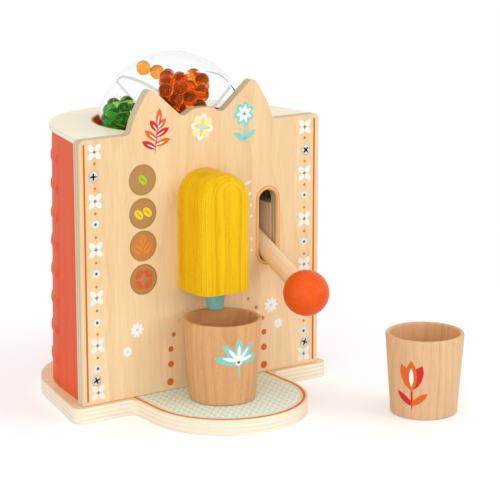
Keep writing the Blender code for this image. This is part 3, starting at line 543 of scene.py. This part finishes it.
cream, peach = ink("cream", (0.95, 0.82, 0.42)), ink("peach", (0.93, 0.52, 0.28))
pale_blue, snow = ink("pale_blue", (0.50, 0.72, 0.84)), ink("snow", (0.95, 0.95, 0.93))
daisies = []
for x, z, reach, count, width, heart in (
        (-0.0615, 0.0659, 0.0060, 9, 0.0027, pale_blue), (-0.0703, 0.0496, 0.0040, 6, 0.0036, cream),
        (0.0645, 0.0671, 0.0064, 9, 0.0027, pale_blue), (0.0714, 0.0510, 0.0040, 6, 0.0037, cream)):
    for step in range(count):
        daisies.append(leaf(x, z, reach, width, 360 * step / count + 8, 1 + step % 3, snow))
    daisies.append(dot(x, z, reach * 0.4, 4, heart, 16))
print_on_panel(daisies, "daisies")

arch = (
    (-0.0147, 0.0757, 0.0026, peach), (-0.0238, 0.0678, 0.0032, peach), (-0.0281, 0.0572, 0.0038, orange),
    (-0.0308, 0.0455, 0.0046, orange), (-0.0309, 0.0334, 0.0052, orange), (-0.0316, 0.0189, 0.0060, orange),
    (0.0423, 0.0755, 0.0026, rust), (0.0500, 0.0673, 0.0032, rust), (0.0559, 0.0576, 0.0040, rust),
    (0.0576, 0.0457, 0.0048, orange), (0.0576, 0.0331, 0.0056, orange), (0.0576, 0.0183, 0.0062, orange))
print_on_panel([dot(x, z, size, 1, colour, 20) for x, z, size, colour in arch], "dot_arch")

dashes = (
    (0.0421, 0.1704, 0.0066, 0.0026, 72, cream), (0.0438, 0.1614, 0.0034, 0.0030, 60, cream),
    (0.0450, 0.1520, 0.0026, 0.0026, 0, cream), (0.0455, 0.1430, 0.0026, 0.0026, 0, cream),
    (0.0455, 0.1332, 0.0028, 0.0028, 0, peach), (0.0455, 0.1243, 0.0026, 0.0026, 0, cream),
    (0.0455, 0.1153, 0.0026, 0.0026, 0, cream))
print_on_panel([disc(x, z, width, length, 1, colour, lean, 16)
                for x, z, length, width, lean, colour in dashes], "pale_dashes")

bloom_x, bloom_z = -0.0007, 0.2193
outer_petal, inner_petal = (0.0068, 0.0062, 0.0070, 1, white, 20), (0.0050, 0.0026, 0.0050, 3, yellow, 16)
bloom = []
for step in range(8):
    lean = 45 * step + 12
    way = radians(lean)
    for reach, width, length, layer, colour, sides in (outer_petal, inner_petal):
        bloom.append(disc(bloom_x + reach * sin(way), bloom_z + reach * cos(way), width, length,
                          layer + step % 2, (colour, cream)[step % 2], lean, sides))
bloom.append(dot(bloom_x, bloom_z, 0.0056, 5, pale_blue))
print_on_panel(bloom, "crest_flower")

# Printed sprigs on the ears: a red and orange leafy twig on the left, and an aqua
# and white blossom on its stem on the right.

scarlet, aqua = ink("scarlet", (0.66, 0.02, 0.02)), ink("aqua", (0.22, 0.66, 0.62))
twig_x, twig_z, twig_lean = -0.0435, 0.2040, 8
twig = [leaf(twig_x, twig_z, 0.0240, 0.0014, twig_lean, 1, scarlet)]
for rise, reach, lean, colour in (
        (0.0030, 0.0125, -62, scarlet), (0.0055, 0.0125, 74, orange), (0.0095, 0.0120, -52, orange),
        (0.0125, 0.0115, 64, scarlet), (0.0165, 0.0100, -36, scarlet), (0.0185, 0.0095, 48, orange),
        (0.0210, 0.0120, 8, orange)):
    foot_x = twig_x + rise * sin(radians(twig_lean))
    foot_z = twig_z + rise * cos(radians(twig_lean))
    twig.append(leaf(foot_x, foot_z, reach, 0.0052, lean, 2, colour))
    twig.append(leaf(foot_x, foot_z, reach * 0.62, 0.0010, lean, 3, snow))
print_on_panel(twig, "left_ear_sprig")

stem_x, blossom_x, blossom_z, petals = 0.0395, 0.0385, 0.2260, 7
stalk = [leaf(stem_x, z, length, width, lean, 1, aqua) for z, length, width, lean in (
    (0.2035, 0.0180, 0.0014, -4), (0.2050, 0.0120, 0.0046, -58), (0.2060, 0.0110, 0.0044, 56))]
for step in range(petals):
    lean = 360 * step / petals + 10
    layer = 3 if step == petals - 1 else 1 + step % 2
    stalk.append(leaf(blossom_x, blossom_z, 0.0096, 0.0062, lean, layer, aqua))
    stalk.append(leaf(blossom_x, blossom_z, 0.0070, 0.0030, lean, layer + 3, snow))
stalk += [dot(blossom_x, blossom_z, 0.0042, 7, pale_blue), dot(blossom_x, blossom_z, 0.0016, 8, slate, 12)]
print_on_panel(stalk, "right_ear_sprig")

# Printed frame of the slot: an orange ring with a paler one inside it, both
# rounded at their ends like the slot that they follow.

slot_x, slot_half, slot_low, slot_high, slot_gap = 0.0611, 0.0086, 0.10425, 0.16277, 0.00055
slot_middle = (slot_low + slot_high) / 2
apricot = ink("apricot", (0.80, 0.30, 0.03))


def round_ends(plate, half):
    """Round a plate's four corners until its ends are half circles."""
    open_mesh(plate, "EDGE")
    round_edges(lambda spot: abs(spot.x - slot_x) > half - 1e-6
                and abs(spot.z - slot_middle) > (slot_high - slot_low) / 2, half - 1e-5, 20)
    close_mesh()


frame_parts = []
for grow, layer, colour in ((0.0029, 1, apricot), (0.0018, 2, cream), (0.0013, 3, apricot)):
    frame_parts.append(bar(slot_x - slot_half - grow, slot_x + slot_half + grow, slot_low - grow,
                           slot_high + grow, layer, colour))
    round_ends(frame_parts[-1], slot_half + grow)
slot_frame = join(frame_parts)
slot_cutter = add_shape(bpy.ops.mesh.primitive_cube_add, size=1, location=(slot_x, 0, slot_middle), scale=(
    2 * (slot_half + slot_gap), 0.01, slot_high - slot_low + 2 * slot_gap))
round_ends(slot_cutter, slot_half + slot_gap)
cut(slot_frame, slot_cutter, use_self=True)
settle(slot_frame, "slot_frame", None, "cabinet", "birch_ply")

# Screws: bright zinc wood screws with countersunk heads and a cross recess painted
# near black as shade. Four hold the panel, four come up through the base and two hold the head.

def metal(name, light, dark, rough):
    """Bare metal with a fine swirl in its colour and gloss."""
    material, tree, shader, place = new_material(name, 0.5, {"Metallic": 1.0})
    swirl = ramp(tree, noise(tree, place, 900, 900, 3, 0.6), 0.3, 0.7)
    dress(tree, shader, blend(tree, swirl, light, dark), ramp(tree, swirl, 0, 1, *rough))
    return material


zinc = metal("zinc", (0.80, 0.80, 0.82), (0.62, 0.62, 0.65), (0.22, 0.38))
# Painted shade: the cross recess gets this near-black metal in place of the shade in its depth.
recess_shade = metal("recess_painted_shade", (0.035, 0.033, 0.032), (0.015, 0.014, 0.014), (0.45, 0.45))

screw_head, screw_rim, screw_sink, shank = 0.0038, 0.0004, 0.0018, 0.0016
screw_tip, tip_share, screw_ease, blade_size = 0.003, 0.06, 0.00025, (0.0056, 0.0014, 0.0032)


def make_screw(length):
    """One screw at the origin with its head upwards, cut with a cross recess painted dark as shade."""
    made = add_shape(bpy.ops.mesh.primitive_cylinder_add, vertices=32, radius=screw_head, depth=screw_rim,
                     location=(0, 0, -screw_rim / 2))
    open_mesh(made, "FACE")
    pick("polygons", lambda face: face.normal.z < -0.9)
    for down, share in ((screw_sink, shank / screw_head), (length - screw_sink - screw_rim - screw_tip, 1),
                        (screw_tip, tip_share)):
        extrude(0, 0, -down)
        bpy.ops.transform.resize(value=(share, share, 1))
    close_mesh()
    made.data.materials.append(zinc)
    ease(made, screw_ease, 2, 60)
    for turn in (0, 90):
        blade = add_shape(bpy.ops.mesh.primitive_cube_add, size=1, rotation=(0, 0, radians(turn)),
                          scale=blade_size)
        blade.data.materials.append(recess_shade)
        cut(made, blade, material_mode="TRANSFER")
    select_only(made)
    smooth(30)
    return made


def place_screws(length, direction, nodes):
    """Copies of one screw, each turned its own way, in place of these nodes."""
    first = make_screw(length)
    way = Vector(direction)
    facing = way.to_track_quat("Z", "Y").to_matrix().to_4x4()
    for index, node in enumerate(nodes):
        low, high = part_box(node)
        head_middle = (low + high) / 2 + way * length / 2
        copy = copy_of(first)
        turn = Matrix.Rotation(radians(23 + 67 * index), 4, "Z")
        copy.data.transform(Matrix.Translation(head_middle) @ facing @ turn)
        settle(copy, f"{node}_zinc", None, "cabinet", "steel", node)
    bpy.data.objects.remove(first)


place_screws(0.0160, (0, -1, 0), [f"panel_screw_{corner}" for corner in (
    "left_low", "left_high", "right_low", "right_high")])
place_screws(0.0280, (0, 0, -1), [f"base_screw_{foot}" for foot in (
    "left_batten", "right_batten", "post_left", "post_right")])
place_screws(0.0280, (0, 1, 0), ["head_screw_low", "head_screw_high"])

# Top board: thin birch plywood that closes the cabinet behind the panel, cut
# out round for the ball.

top_face = ((1.0, 0.94, 0.74), (0.96, 0.82, 0.58))
top_birch = birch_ply(
    "birch_top", top_face, birch_edge, sheet_axis=2, start=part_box("top_board")[0].z, ply=0.0014,
    grain_axis=0, pith=(0, 0.1, 0.1), turn=(0, radians(90), 0))[0]
eased_copy("top_board", "top_plate", top_birch, width=0.0004)

# Side wall and collar: a thin sheet bent round the cabinet, with proud bands
# round its back, and a strip bent round the hole, both painted matt coral.

def coral_paint(name):
    """Matt coral paint, brushed on upright, with its node tree and its colour."""
    material, tree, shader, place = new_material(name, 0.15)
    mottle = noise(tree, place, 30, 30, 3, 0.5)
    brushed = noise(tree, place, 160, 3, 3, 0.6)
    tone = calc(tree, "MULTIPLY_ADD", brushed, 0.6, calc(tree, "MULTIPLY", mottle, 0.4))
    colour = blend(tree, ramp(tree, tone, 0.35, 0.65), (0.74, 0.082, 0.018), (0.84, 0.112, 0.028))
    dress(tree, shader, colour, ramp(tree, mottle, 0.3, 0.7, 0.42, 0.56), noise(tree, place, 1400, 1400),
          0.15, 0.00012)
    return material, tree, shader, place, colour


def facing_out(tree, place, centre, ways=(1, 1, 1)):
    """How far a surface faces away from a point, counted along the ways that are 1."""
    outward = on_vector(tree, "MULTIPLY", on_vector(tree, "SUBTRACT", place, centre), ways)
    return on_vector(tree, "DOT_PRODUCT", outward, tree.nodes["Texture Coordinate"].outputs["Normal"])


def paint(material, *names):
    for name in names:
        data = cad_nodes[name].data
        data.materials.clear()
        data.materials.append(material)


paint(coral_paint("coral_paint")[0], "hole_collar")

coral_sheet, tree, shader, place, colour = coral_paint("coral_sheet")
outside = calc(tree, "GREATER_THAN", facing_out(tree, place, (0, 0.04, 0)), 0.0)
bare = wood_grain(tree, place, ring_pitch=0.006, wander=0.02, depths=(0.4, 0.3, 0.3, 0.3))
bare = blend(tree, bare["Tone"], (0.90, 0.68, 0.42), (0.62, 0.40, 0.20))
tree.links.new(blend(tree, outside, bare, colour), shader.inputs["Base Color"])
paint(coral_sheet, "side_wall")

# Hidden woodwork: two battens, the post behind the ball, the ball's dowel and
# the lever's cheeks are bare softwood, sawn and drilled.

def solid_wood(name, light, dark, ring_pitch, wander, depths, pith, turn=(0, 0, 0), rough=(0.42, 0.58),
               bump=0.3, sheen=0.25):
    """Sawn or turned wood, bare, stained or varnished."""
    material, tree, shader, place = new_material(name, sheen)
    wood = wood_grain(tree, place, ring_pitch, wander, depths, pith, turn)
    dress(tree, shader, blend(tree, wood["Tone"], light, dark), ramp(tree, wood["Tone"], 0, 1, *rough),
          wood["Height"], bump)
    return material


bare_wood = solid_wood(
    "bare_wood", (0.96, 0.76, 0.52), (0.66, 0.44, 0.25), ring_pitch=0.0028, wander=0.006,
    depths=(0.45, 0.3, 0.3, 0.1), pith=(0.02, 0.03, 0), rough=(0.6, 0.75), bump=0.4)
paint(bare_wood, "left_batten", "right_batten", "axle_post", "ball_axle", "lever_cheek_left",
      "lever_cheek_right")

# Hopper ball: clear moulded plastic, flat at its front and back, with a clear
# cross inside that parts it into four chambers of translucent beads.

front_low, front_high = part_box("ball_shell_front")
back_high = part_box("ball_shell_back")[1]
ball_centre = Vector((0, (front_low.y + back_high.y) / 2, (front_low.z + front_high.z) / 2))
ball_radius, ball_half_width = (front_high.x - front_low.x) / 2, (back_high.y - front_low.y) / 2
shell_wall, hub_hole, half_seam = 0.0020, 0.0073, 0.00015

clear, tree, shader, place = new_material("clear_plastic", 0.5, {"Transmission Weight": 1.0, "IOR": 1.05})
cloud = ramp(tree, noise(tree, place, 40, 40), 0.3, 0.7)
# Painted shade: the shell turns grey where it is seen edge-on.
edge_on_shade = add_node(tree, "ShaderNodeLayerWeight", {"Blend": 0.5}).outputs["Facing"]
see_through = blend(tree, cloud, (0.985, 0.995, 0.995), (1.0, 1.0, 1.0))
dress(tree, shader, blend(tree, ramp(tree, edge_on_shade, 0.55, 0.95), see_through, (0.90, 0.905, 0.905)),
      ramp(tree, cloud, 0, 1, 0.015, 0.05))

for part, side in (("front", -1), ("back", 1)):
    shell = add_shape(bpy.ops.mesh.primitive_uv_sphere_add, segments=96, ring_count=64, radius=ball_radius,
                      location=ball_centre, rotation=(radians(90), 0, 0))
    open_mesh(shell)
    for depth, way, fill in ((side * half_seam, -side, False), (side * ball_half_width, side, True)):
        bpy.ops.mesh.select_all(action="SELECT")
        bpy.ops.mesh.bisect(plane_co=ball_centre + Vector((0, depth, 0)), plane_no=(0, way, 0),
                            clear_outer=True, use_fill=fill)
    end_y = ball_centre.y + side * ball_half_width
    pick("polygons", lambda face: abs(face.center.y - end_y) < 1e-5)
    bpy.ops.mesh.inset(thickness=sqrt(ball_radius ** 2 - ball_half_width ** 2) - hub_hole)
    bpy.ops.mesh.delete(type="FACE")
    bpy.ops.mesh.select_all(action="SELECT")
    bpy.ops.mesh.normals_make_consistent(inside=False)
    close_mesh()
    add_modifier(shell, "SOLIDIFY", thickness=shell_wall, offset=-1, use_even_offset=True)
    smooth(30)
    shell.visible_shadow = False
    settle(shell, f"clear_shell_{part}", clear, "ball", "clear_plastic", f"ball_shell_{part}")

plate_clear, tree, shader, place = new_material(
    "divider_plastic", 0.5, {"Transmission Weight": 1.0, "IOR": 1.02})
# Painted shade: the plates turn grey near the ball's wall and its flat ends.
edge_start, edge_full = 0.0016, 0.0009
from_centre = on_vector(tree, "LENGTH", on_vector(tree, "SUBTRACT", place, ball_centre))
from_middle = calc(tree, "ABSOLUTE", calc(tree, "SUBTRACT", split(tree, place)[1], ball_centre.y))
at_rim, at_end = (ramp(tree, far, limit - shell_wall - edge_start, limit - shell_wall - edge_full)
                  for far, limit in ((from_centre, ball_radius), (from_middle, ball_half_width)))
edge_shade = calc(tree, "MAXIMUM", at_rim, at_end)
dress(tree, shader, blend(tree, edge_shade, (0.995, 1.0, 0.998), (0.52, 0.53, 0.51)),
      ramp(tree, edge_shade, 0, 1, 0.01, 0.2))
paint(plate_clear, "ball_divider")
cad_nodes["ball_divider"].visible_shadow = False

bead_radius, divider_half, divider_turn = 0.0058, 0.0012, 43
start_out, start_spread, start_rise = 0.02, 0.012, 0.01
fall, fall_steps, last_fall, all_steps = 0.0004, 500, 0.0001, 700


def bead_places(count, chamber, seed, sides):
    """Beads let fall into one chamber and pushed apart until they rest on each other."""
    rng = np.random.default_rng(seed)
    turn = radians(divider_turn + 90 * chamber)
    stand_off = divider_half + bead_radius
    walls = [(np.array((-sin(turn), 0, cos(turn))), stand_off),
             (np.array((cos(turn), 0, sin(turn))), stand_off), *sides]
    reach = ball_radius - shell_wall - bead_radius
    side_reach = ball_half_width - shell_wall - bead_radius
    spots = (walls[0][0] + walls[1][0]) * start_out + rng.uniform(-start_spread, start_spread, (count, 3))
    spots[:, 2] += start_rise * (chamber == 0)
    for step in range(all_steps):
        spots[:, 2] -= fall if step < fall_steps else last_fall
        for _ in range(4):
            gaps = spots[:, None] - spots[None]
            apart = np.linalg.norm(gaps, axis=2) + np.eye(count)
            push = np.clip(2 * bead_radius - apart, 0, None) * (1 - np.eye(count))
            spots += (gaps / apart[:, :, None] * push[:, :, None]).sum(1) * 0.45
            spots[:, 1] = np.clip(spots[:, 1], -side_reach, side_reach)
            for wall, rest in walls:
                short = np.clip(rest - spots @ wall, 0, None)
                spots += short[:, None] * wall
            radius = np.linalg.norm(spots, axis=1)
            spots *= (np.minimum(radius, reach) / np.maximum(radius, 1e-6))[:, None]
    return spots + np.array(ball_centre)


def bead_material(name, light, dark):
    """Clear glossy plastic with darker patches, and bright specks painted on as glints."""
    material, tree, shader, place = new_material(
        name, 0.5, {"Transmission Weight": 0.94, "IOR": 1.28, "Specular Tint": (*light, 1)})
    cloud = noise(tree, place, 130, 130)
    # Painted highlight: the bright specks stand in for glints off the beads.
    speck = ramp(tree, noise(tree, place, 420, 420, 1), 0.62, 0.70)
    colour = blend(tree, ramp(tree, cloud, 0.4, 0.6), light, dark)
    bright = [0.35 + 0.65 * part for part in light]
    dress(tree, shader, blend(tree, speck, colour, bright), ramp(tree, cloud, 0.3, 0.7, 0.01, 0.05))
    return material


clinging = np.array(((-0.0168, 0.0148, 0.0452), (-0.0065, 0.0110, 0.0415)))
sideways = np.array((0.829, -0.559, 0))
gathered = ((sideways, -0.0036), (-sideways, -0.0239))
chambers = (("orange", 41, 3, gathered, (1.0, 0.42, 0.05), (0.97, 0.23, 0.015)),
            ("green", 80, 2, (), (0.38, 0.76, 0.09), (0.10, 0.55, 0.12)),
            ("red", 36, 2, (), (0.90, 0.04, 0.03), (0.70, 0.01, 0.02)),
            ("yellow", 56, 2, (), (1.0, 0.68, 0.03), (0.95, 0.50, 0.02)))
for chamber, (word, count, fineness, sides, light, dark) in enumerate(chambers):
    bead = add_shape(bpy.ops.mesh.primitive_ico_sphere_add, subdivisions=fineness, radius=bead_radius)
    bpy.ops.object.shade_smooth()
    places = bead_places(count, chamber, 7 + chamber, sides)
    if word == "orange":
        places = np.concatenate((places, clinging + ball_centre))
    copies = [bead] + [copy_of(bead) for spot in places[1:]]
    for copy, spot in zip(copies, places):
        copy.location = spot
    settle(join(copies), f"{word}_beads", bead_material(f"{word}_bead", light, dark), "ball",
           f"{word}_beads", f"{word}_bead_heap")

# Dispenser head: a beech block stained yellow, rounded over at its top and
# front edges. A tapered nozzle painted aqua is pegged into its underside.

head_low, head_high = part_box("dispenser_head")
head_middle_y, arch_radius, head_edge = (head_low.y + head_high.y) / 2, 0.0220, 0.0110
head = add_shape(bpy.ops.mesh.primitive_cube_add, size=1, location=(head_low + head_high) / 2,
                 scale=head_high - head_low)
open_mesh(head, "EDGE")
round_edges(lambda spot: abs(spot.z - head_high.z) < 1e-5 and abs(spot.y - head_middle_y) < 1e-4,
            arch_radius, 18)
round_edges(lambda spot: abs(spot.y - head_low.y) < 1e-5 and spot.z > head_low.z + 1e-5, head_edge, 10)
close_mesh()
smooth(35)
add_modifier(head, "WEIGHTED_NORMAL", keep_sharp=True)
stained_yellow = solid_wood(
    "yellow_stain", (0.97, 0.61, 0.002), (0.55, 0.25, 0.001), ring_pitch=0.0018, wander=0.0028,
    depths=(0.62, 0.3, 0.28, 0.3), pith=(-0.003, 0.085, 0), rough=(0.38, 0.5), bump=0.35, sheen=0.12)
settle(head, "head_block", stained_yellow, "cabinet", "yellow_stain", "dispenser_head")

nozzle_low, nozzle_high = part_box("nozzle")
nozzle_wide, nozzle_narrow, peg_radius, peg_rise, lip = 0.0085, 0.0062, 0.0040, 0.0103, 0.0012
nozzle_top, nozzle_tip = nozzle_high.z - peg_rise, nozzle_low.z
nozzle_middle = (nozzle_low + nozzle_high) / 2
nozzle_middle.z = (nozzle_top + nozzle_tip) / 2
nozzle = add_shape(bpy.ops.mesh.primitive_cone_add, vertices=64, radius1=nozzle_narrow, radius2=nozzle_wide,
                   depth=nozzle_top - nozzle_tip, location=nozzle_middle)
open_mesh(nozzle, "FACE")
pick("polygons", lambda face: face.normal.z > 0.9)
bpy.ops.mesh.inset(thickness=nozzle_wide - peg_radius)
extrude(0, 0, peg_rise)
bpy.ops.mesh.select_mode(type="EDGE")
round_edges(lambda spot: spot.z < nozzle_tip + 1e-5, lip, 4)
close_mesh()
smooth(40)

aqua_paint, tree, shader, place = new_material("aqua_paint")
cloud = ramp(tree, noise(tree, place, 260, 60, 3, 0.6), 0.3, 0.7)
dress(tree, shader, blend(tree, cloud, (0.27, 0.60, 0.56), (0.20, 0.50, 0.47)),
      ramp(tree, cloud, 0, 1, 0.36, 0.46), noise(tree, place, 1500, 500), 0.15, 0.0001)
settle(nozzle, "nozzle_cone", aqua_paint, "cabinet", "aqua_paint", "nozzle")

# Lever: a beech dowel that swings on a steel pin behind the panel, with a turned
# ball knob stained orange pressed on its front end.

pivot, rest_tilt = Vector((0.0611, 0.0475, 0.1342)), radians(24)
along, upright = Vector((0, -cos(rest_tilt), -sin(rest_tilt))), Vector((0, 0, 1))
arm_radius, arm_tail, arm_end, arm_ease = 0.0074, 0.0110, 0.1043, 0.001
knob_radius, knob_reach, peg_depth = 0.0182, 0.1105, 0.008
arm_turn = along.to_track_quat("Z", "Y").to_euler()

arm = add_shape(
    bpy.ops.mesh.primitive_cylinder_add, vertices=64, radius=arm_radius, depth=arm_end + arm_tail,
    rotation=arm_turn, location=pivot + along * (arm_end - arm_tail) / 2)
ease(arm, arm_ease, 3, 60)
smooth(40)
dowel_beech = solid_wood(
    "dowel_beech", (0.93, 0.69, 0.43), (0.68, 0.43, 0.22), ring_pitch=0.0034, wander=0.004,
    depths=(0.25, 0.25, 0.2, 0.3), pith=-pivot + Vector((0.03, 0, 0)),
    turn=along.rotation_difference(upright).to_euler())
settle(arm, "lever_dowel", dowel_beech, "lever", "beech", "lever_arm")

knob_centre, knob_grain = pivot + along * knob_reach, Vector((0.75, -0.35, 0.56))
knob = add_shape(bpy.ops.mesh.primitive_uv_sphere_add, segments=64, ring_count=32, radius=knob_radius,
                 rotation=arm_turn, location=knob_centre)
open_mesh(knob, "FACE")
back_of_knob = knob_centre - along * knob_radius
pick("polygons", lambda face: (face.center - back_of_knob).length < arm_radius * 0.95)
bpy.ops.mesh.delete(type="FACE")
bpy.ops.mesh.select_mode(type="EDGE")
bpy.ops.mesh.select_non_manifold()
extrude(*along * peg_depth)
bpy.ops.mesh.edge_face_add()
close_mesh()
smooth(40)
stained_orange = solid_wood(
    "orange_stain", (0.93, 0.125, 0.010), (0.52, 0.045, 0.005), ring_pitch=0.0019, wander=0.006,
    depths=(0.42, 0.2, 0.25, 0.45), pith=Vector((0.0165, -0.0216, -0.0357)) - knob_centre,
    turn=knob_grain.rotation_difference(upright).to_euler(), rough=(0.34, 0.46), bump=0.25, sheen=0.15)
settle(knob, "ball_knob", stained_orange, "lever", "orange_stain", "lever_knob")
paint(zinc, "lever_pin")

# Beakers: two tapered cups turned from beech, with a rounded lip, printed with an
# aqua fan blossom and a red and orange tulip. One stands on the tray under the
# nozzle, the other on the table in front.

near_low, near_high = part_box("cup_near")
cup_height, rim_radius = near_high.z - near_low.z, (near_high.x - near_low.x) / 2
foot_radius, cup_wall, cup_floor, foot_ease, floor_round = 0.0260, 0.0036, 0.0070, 0.0010, 0.0040
# The tint on this line is painted shade, which darkens the inside wall of each cup.
inside_shade_tint, shade_start, shade_full, strip = (0.96, 0.87, 0.75), -0.004, -0.014, 0.0014


def make_cup(word, light, dark, ring_pitch, ring_depth, pith):
    """Turned beaker with painted shade on its inside, and the middle of its foot."""
    low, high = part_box(f"cup_{word}")
    centre = Vector(((low.x + high.x) / 2, (low.y + high.y) / 2, low.z))
    beech = solid_wood(f"{word}_beech", light, dark, ring_pitch, wander=0.012,
                       depths=(ring_depth, 0.35, 0.22, 0.35), pith=Vector(pith) - centre)
    tree = beech.node_tree
    socket = tree.nodes["Principled BSDF"].inputs["Base Color"]
    colour = socket.links[0].from_socket
    # Painted shade: faces that look in towards the cup's axis are darkened.
    outward = facing_out(tree, tree.nodes["Texture Coordinate"].outputs["Object"], centre, (1, 1, 0))
    tree.links.new(blend(tree, ramp(tree, outward, shade_full, shade_start, 1.0, 0.0), colour,
                         on_vector(tree, "MULTIPLY", colour, inside_shade_tint)), socket)
    cup = add_shape(bpy.ops.mesh.primitive_cone_add, vertices=96, radius1=foot_radius, radius2=rim_radius,
                    depth=cup_height, location=centre + Vector((0, 0, cup_height / 2)))
    open_mesh(cup, "FACE")
    top = centre.z + cup_height
    pick("polygons", lambda face: face.normal.z > 0.9)
    bpy.ops.mesh.inset(thickness=cup_wall)
    extrude(0, 0, cup_floor - cup_height)
    share = (foot_radius - cup_wall) / (rim_radius - cup_wall)
    bpy.ops.transform.resize(value=(share, share, 1))
    bpy.ops.mesh.select_mode(type="EDGE")
    round_edges(lambda spot: spot.z > top - 1e-5, cup_wall / 2 - 1e-5, 6)
    round_edges(lambda spot: spot.z < centre.z + 1e-5, foot_ease, 3)
    round_edges(lambda spot: abs(spot.z - centre.z - cup_floor) < 1e-5, floor_round, 6)
    close_mesh()
    smooth(35)
    settle(cup, f"{word}_cup", beech, f"{word}_beaker", "beech", f"cup_{word}")
    return centre


def wrap_on_cup(parts, word, centre, angle):
    """Lay a flat print round a cup's side, cut into narrow strips so that it bends."""
    made = join(parts)
    open_mesh(made)
    for step in range(-12, 13):
        bpy.ops.mesh.select_all(action="SELECT")
        bpy.ops.mesh.bisect(plane_co=(strip * step, 0, 0), plane_no=(1, 0, 0))
    close_mesh()
    for vertex in made.data.vertices:
        x, inward, height = vertex.co
        wall = foot_radius + (rim_radius - foot_radius) * height / cup_height
        turn = radians(angle) + x / wall
        vertex.co = (centre.x + (wall - inward) * cos(turn), centre.y + (wall - inward) * sin(turn),
                     centre.z + height)
    settle(made, f"{word}_cup_print", None, f"{word}_beaker", "beech")


near_centre = make_cup("near", (0.775, 0.425, 0.19), (0.48, 0.23, 0.087), ring_pitch=0.0058,
                       ring_depth=0.50, pith=(0.024, 0.052, 0))
far_centre = make_cup("far", (0.82, 0.53, 0.30), (0.59, 0.335, 0.158), ring_pitch=0.0062,
                      ring_depth=0.45, pith=(-0.045, 0.040, 0))

leans = (-78, -40, 0, 40, 78)
fan = [leaf(0, 0.0345, 0.0185, 0.0064, lean, 1 + index % 2, aqua) for index, lean in enumerate(leans)]
fan += [leaf(0, 0.0360, 0.0125, 0.0028, lean, 3, snow) for lean in leans]
fan += [leaf(0.0010, 0.0225, 0.0130, 0.0018, -6, 1, aqua), dot(0, 0.0350, 0.0054, 4, snow),
        dot(0, 0.0350, 0.0024, 5, slate, 14)]
wrap_on_cup(fan, "near", near_centre, -97.7)

tulip = [leaf(0, z, length, width, lean, layer, colour) for z, length, width, lean, layer, colour in (
    (0.0090, 0.0200, 0.0018, 0, 1, scarlet), (0.0120, 0.0150, 0.0052, -52, 2, scarlet),
    (0.0120, 0.0150, 0.0052, 52, 2, orange), (0.0250, 0.0200, 0.0088, -24, 3, orange),
    (0.0250, 0.0200, 0.0088, 24, 3, scarlet), (0.0245, 0.0220, 0.0090, 0, 4, orange),
    (0.0280, 0.0130, 0.0036, 0, 5, snow))]
wrap_on_cup(tulip, "far", far_centre, -148.8)

# Studio: a pale floor that fades to white, a white surround, two soft lamps and
# the camera that took the photo.

floor_glow, fade_start, fade_end, sky_light = 0.26, 0.3, 0.7, 0.84


def seen_directly(tree):
    """One for what the camera sees straight, off gloss or through glass."""
    rays = add_node(tree, "ShaderNodeLightPath").outputs
    seen = calc(tree, "MAXIMUM", rays["Is Camera Ray"], rays["Is Glossy Ray"])
    return calc(tree, "MAXIMUM", seen, rays["Is Transmission Ray"])


bpy.ops.object.select_all(action="DESELECT")
bpy.ops.mesh.primitive_plane_add(size=12, location=(0, 0, -0.0002))
floor = bpy.context.object
floor.name = "floor"
floor_paper, tree, shader, place = new_material("floor_paper", 0.1, {
    "Base Color": (0.82, 0.83, 0.83, 1), "Roughness": 0.9, "Emission Color": (1, 1, 1, 1)})
seen = seen_directly(tree)
tree.links.new(calc(tree, "MULTIPLY", seen, floor_glow), shader.inputs["Emission Strength"])
far_off = ramp(tree, on_vector(tree, "LENGTH", place), fade_start, fade_end, kind="SMOOTHSTEP")
glow = add_node(tree, "ShaderNodeEmission", {"Color": (1, 1, 1, 1)}).outputs[0]
faded = add_node(tree, "ShaderNodeMixShader", {
    0: calc(tree, "MULTIPLY", seen, far_off), 1: shader.outputs[0], 2: glow}).outputs[0]
tree.links.new(faded, tree.nodes["Material Output"].inputs["Surface"])
floor.data.materials.append(floor_paper)

world = bpy.data.worlds.new("studio")
bpy.context.scene.world = world
world.use_nodes = True
tree = world.node_tree
background = tree.nodes["Background"]
background.inputs["Color"].default_value = (1, 1, 1, 1)
tree.links.new(ramp(tree, seen_directly(tree), 0.0, 1.0, sky_light, 1.0), background.inputs["Strength"])


def add_lamp(name, place, size, power):
    """Square soft lamp, aimed at the middle of the cabinet."""
    bpy.ops.object.light_add(type="AREA", location=place)
    lamp = bpy.context.object
    lamp.name = name
    lamp.data.size = size
    lamp.data.energy = power
    lamp.rotation_euler = (Vector((0, 0, 0.1)) - Vector(place)).to_track_quat("-Z", "Y").to_euler()


add_lamp("key_lamp", (1.3, -1.6, 0.9), size=1.2, power=10)
add_lamp("fill_lamp", (-1.4, -1.5, 0.45), size=1.4, power=14)

photo_width, focal_pixels, film_width = 500, 2122.04, 36
bpy.ops.object.camera_add(location=(-0.874619, -1.361917, 0.509156),
                          rotation=(radians(76.523), 0, radians(-34.001)))
camera = bpy.context.object
camera.name = "photo_camera"
camera.data.sensor_width = film_width
camera.data.lens = film_width * focal_pixels / photo_width
camera.data.clip_start = 0.05
bpy.context.scene.camera = camera
bpy.context.scene.view_settings.view_transform = "Standard"
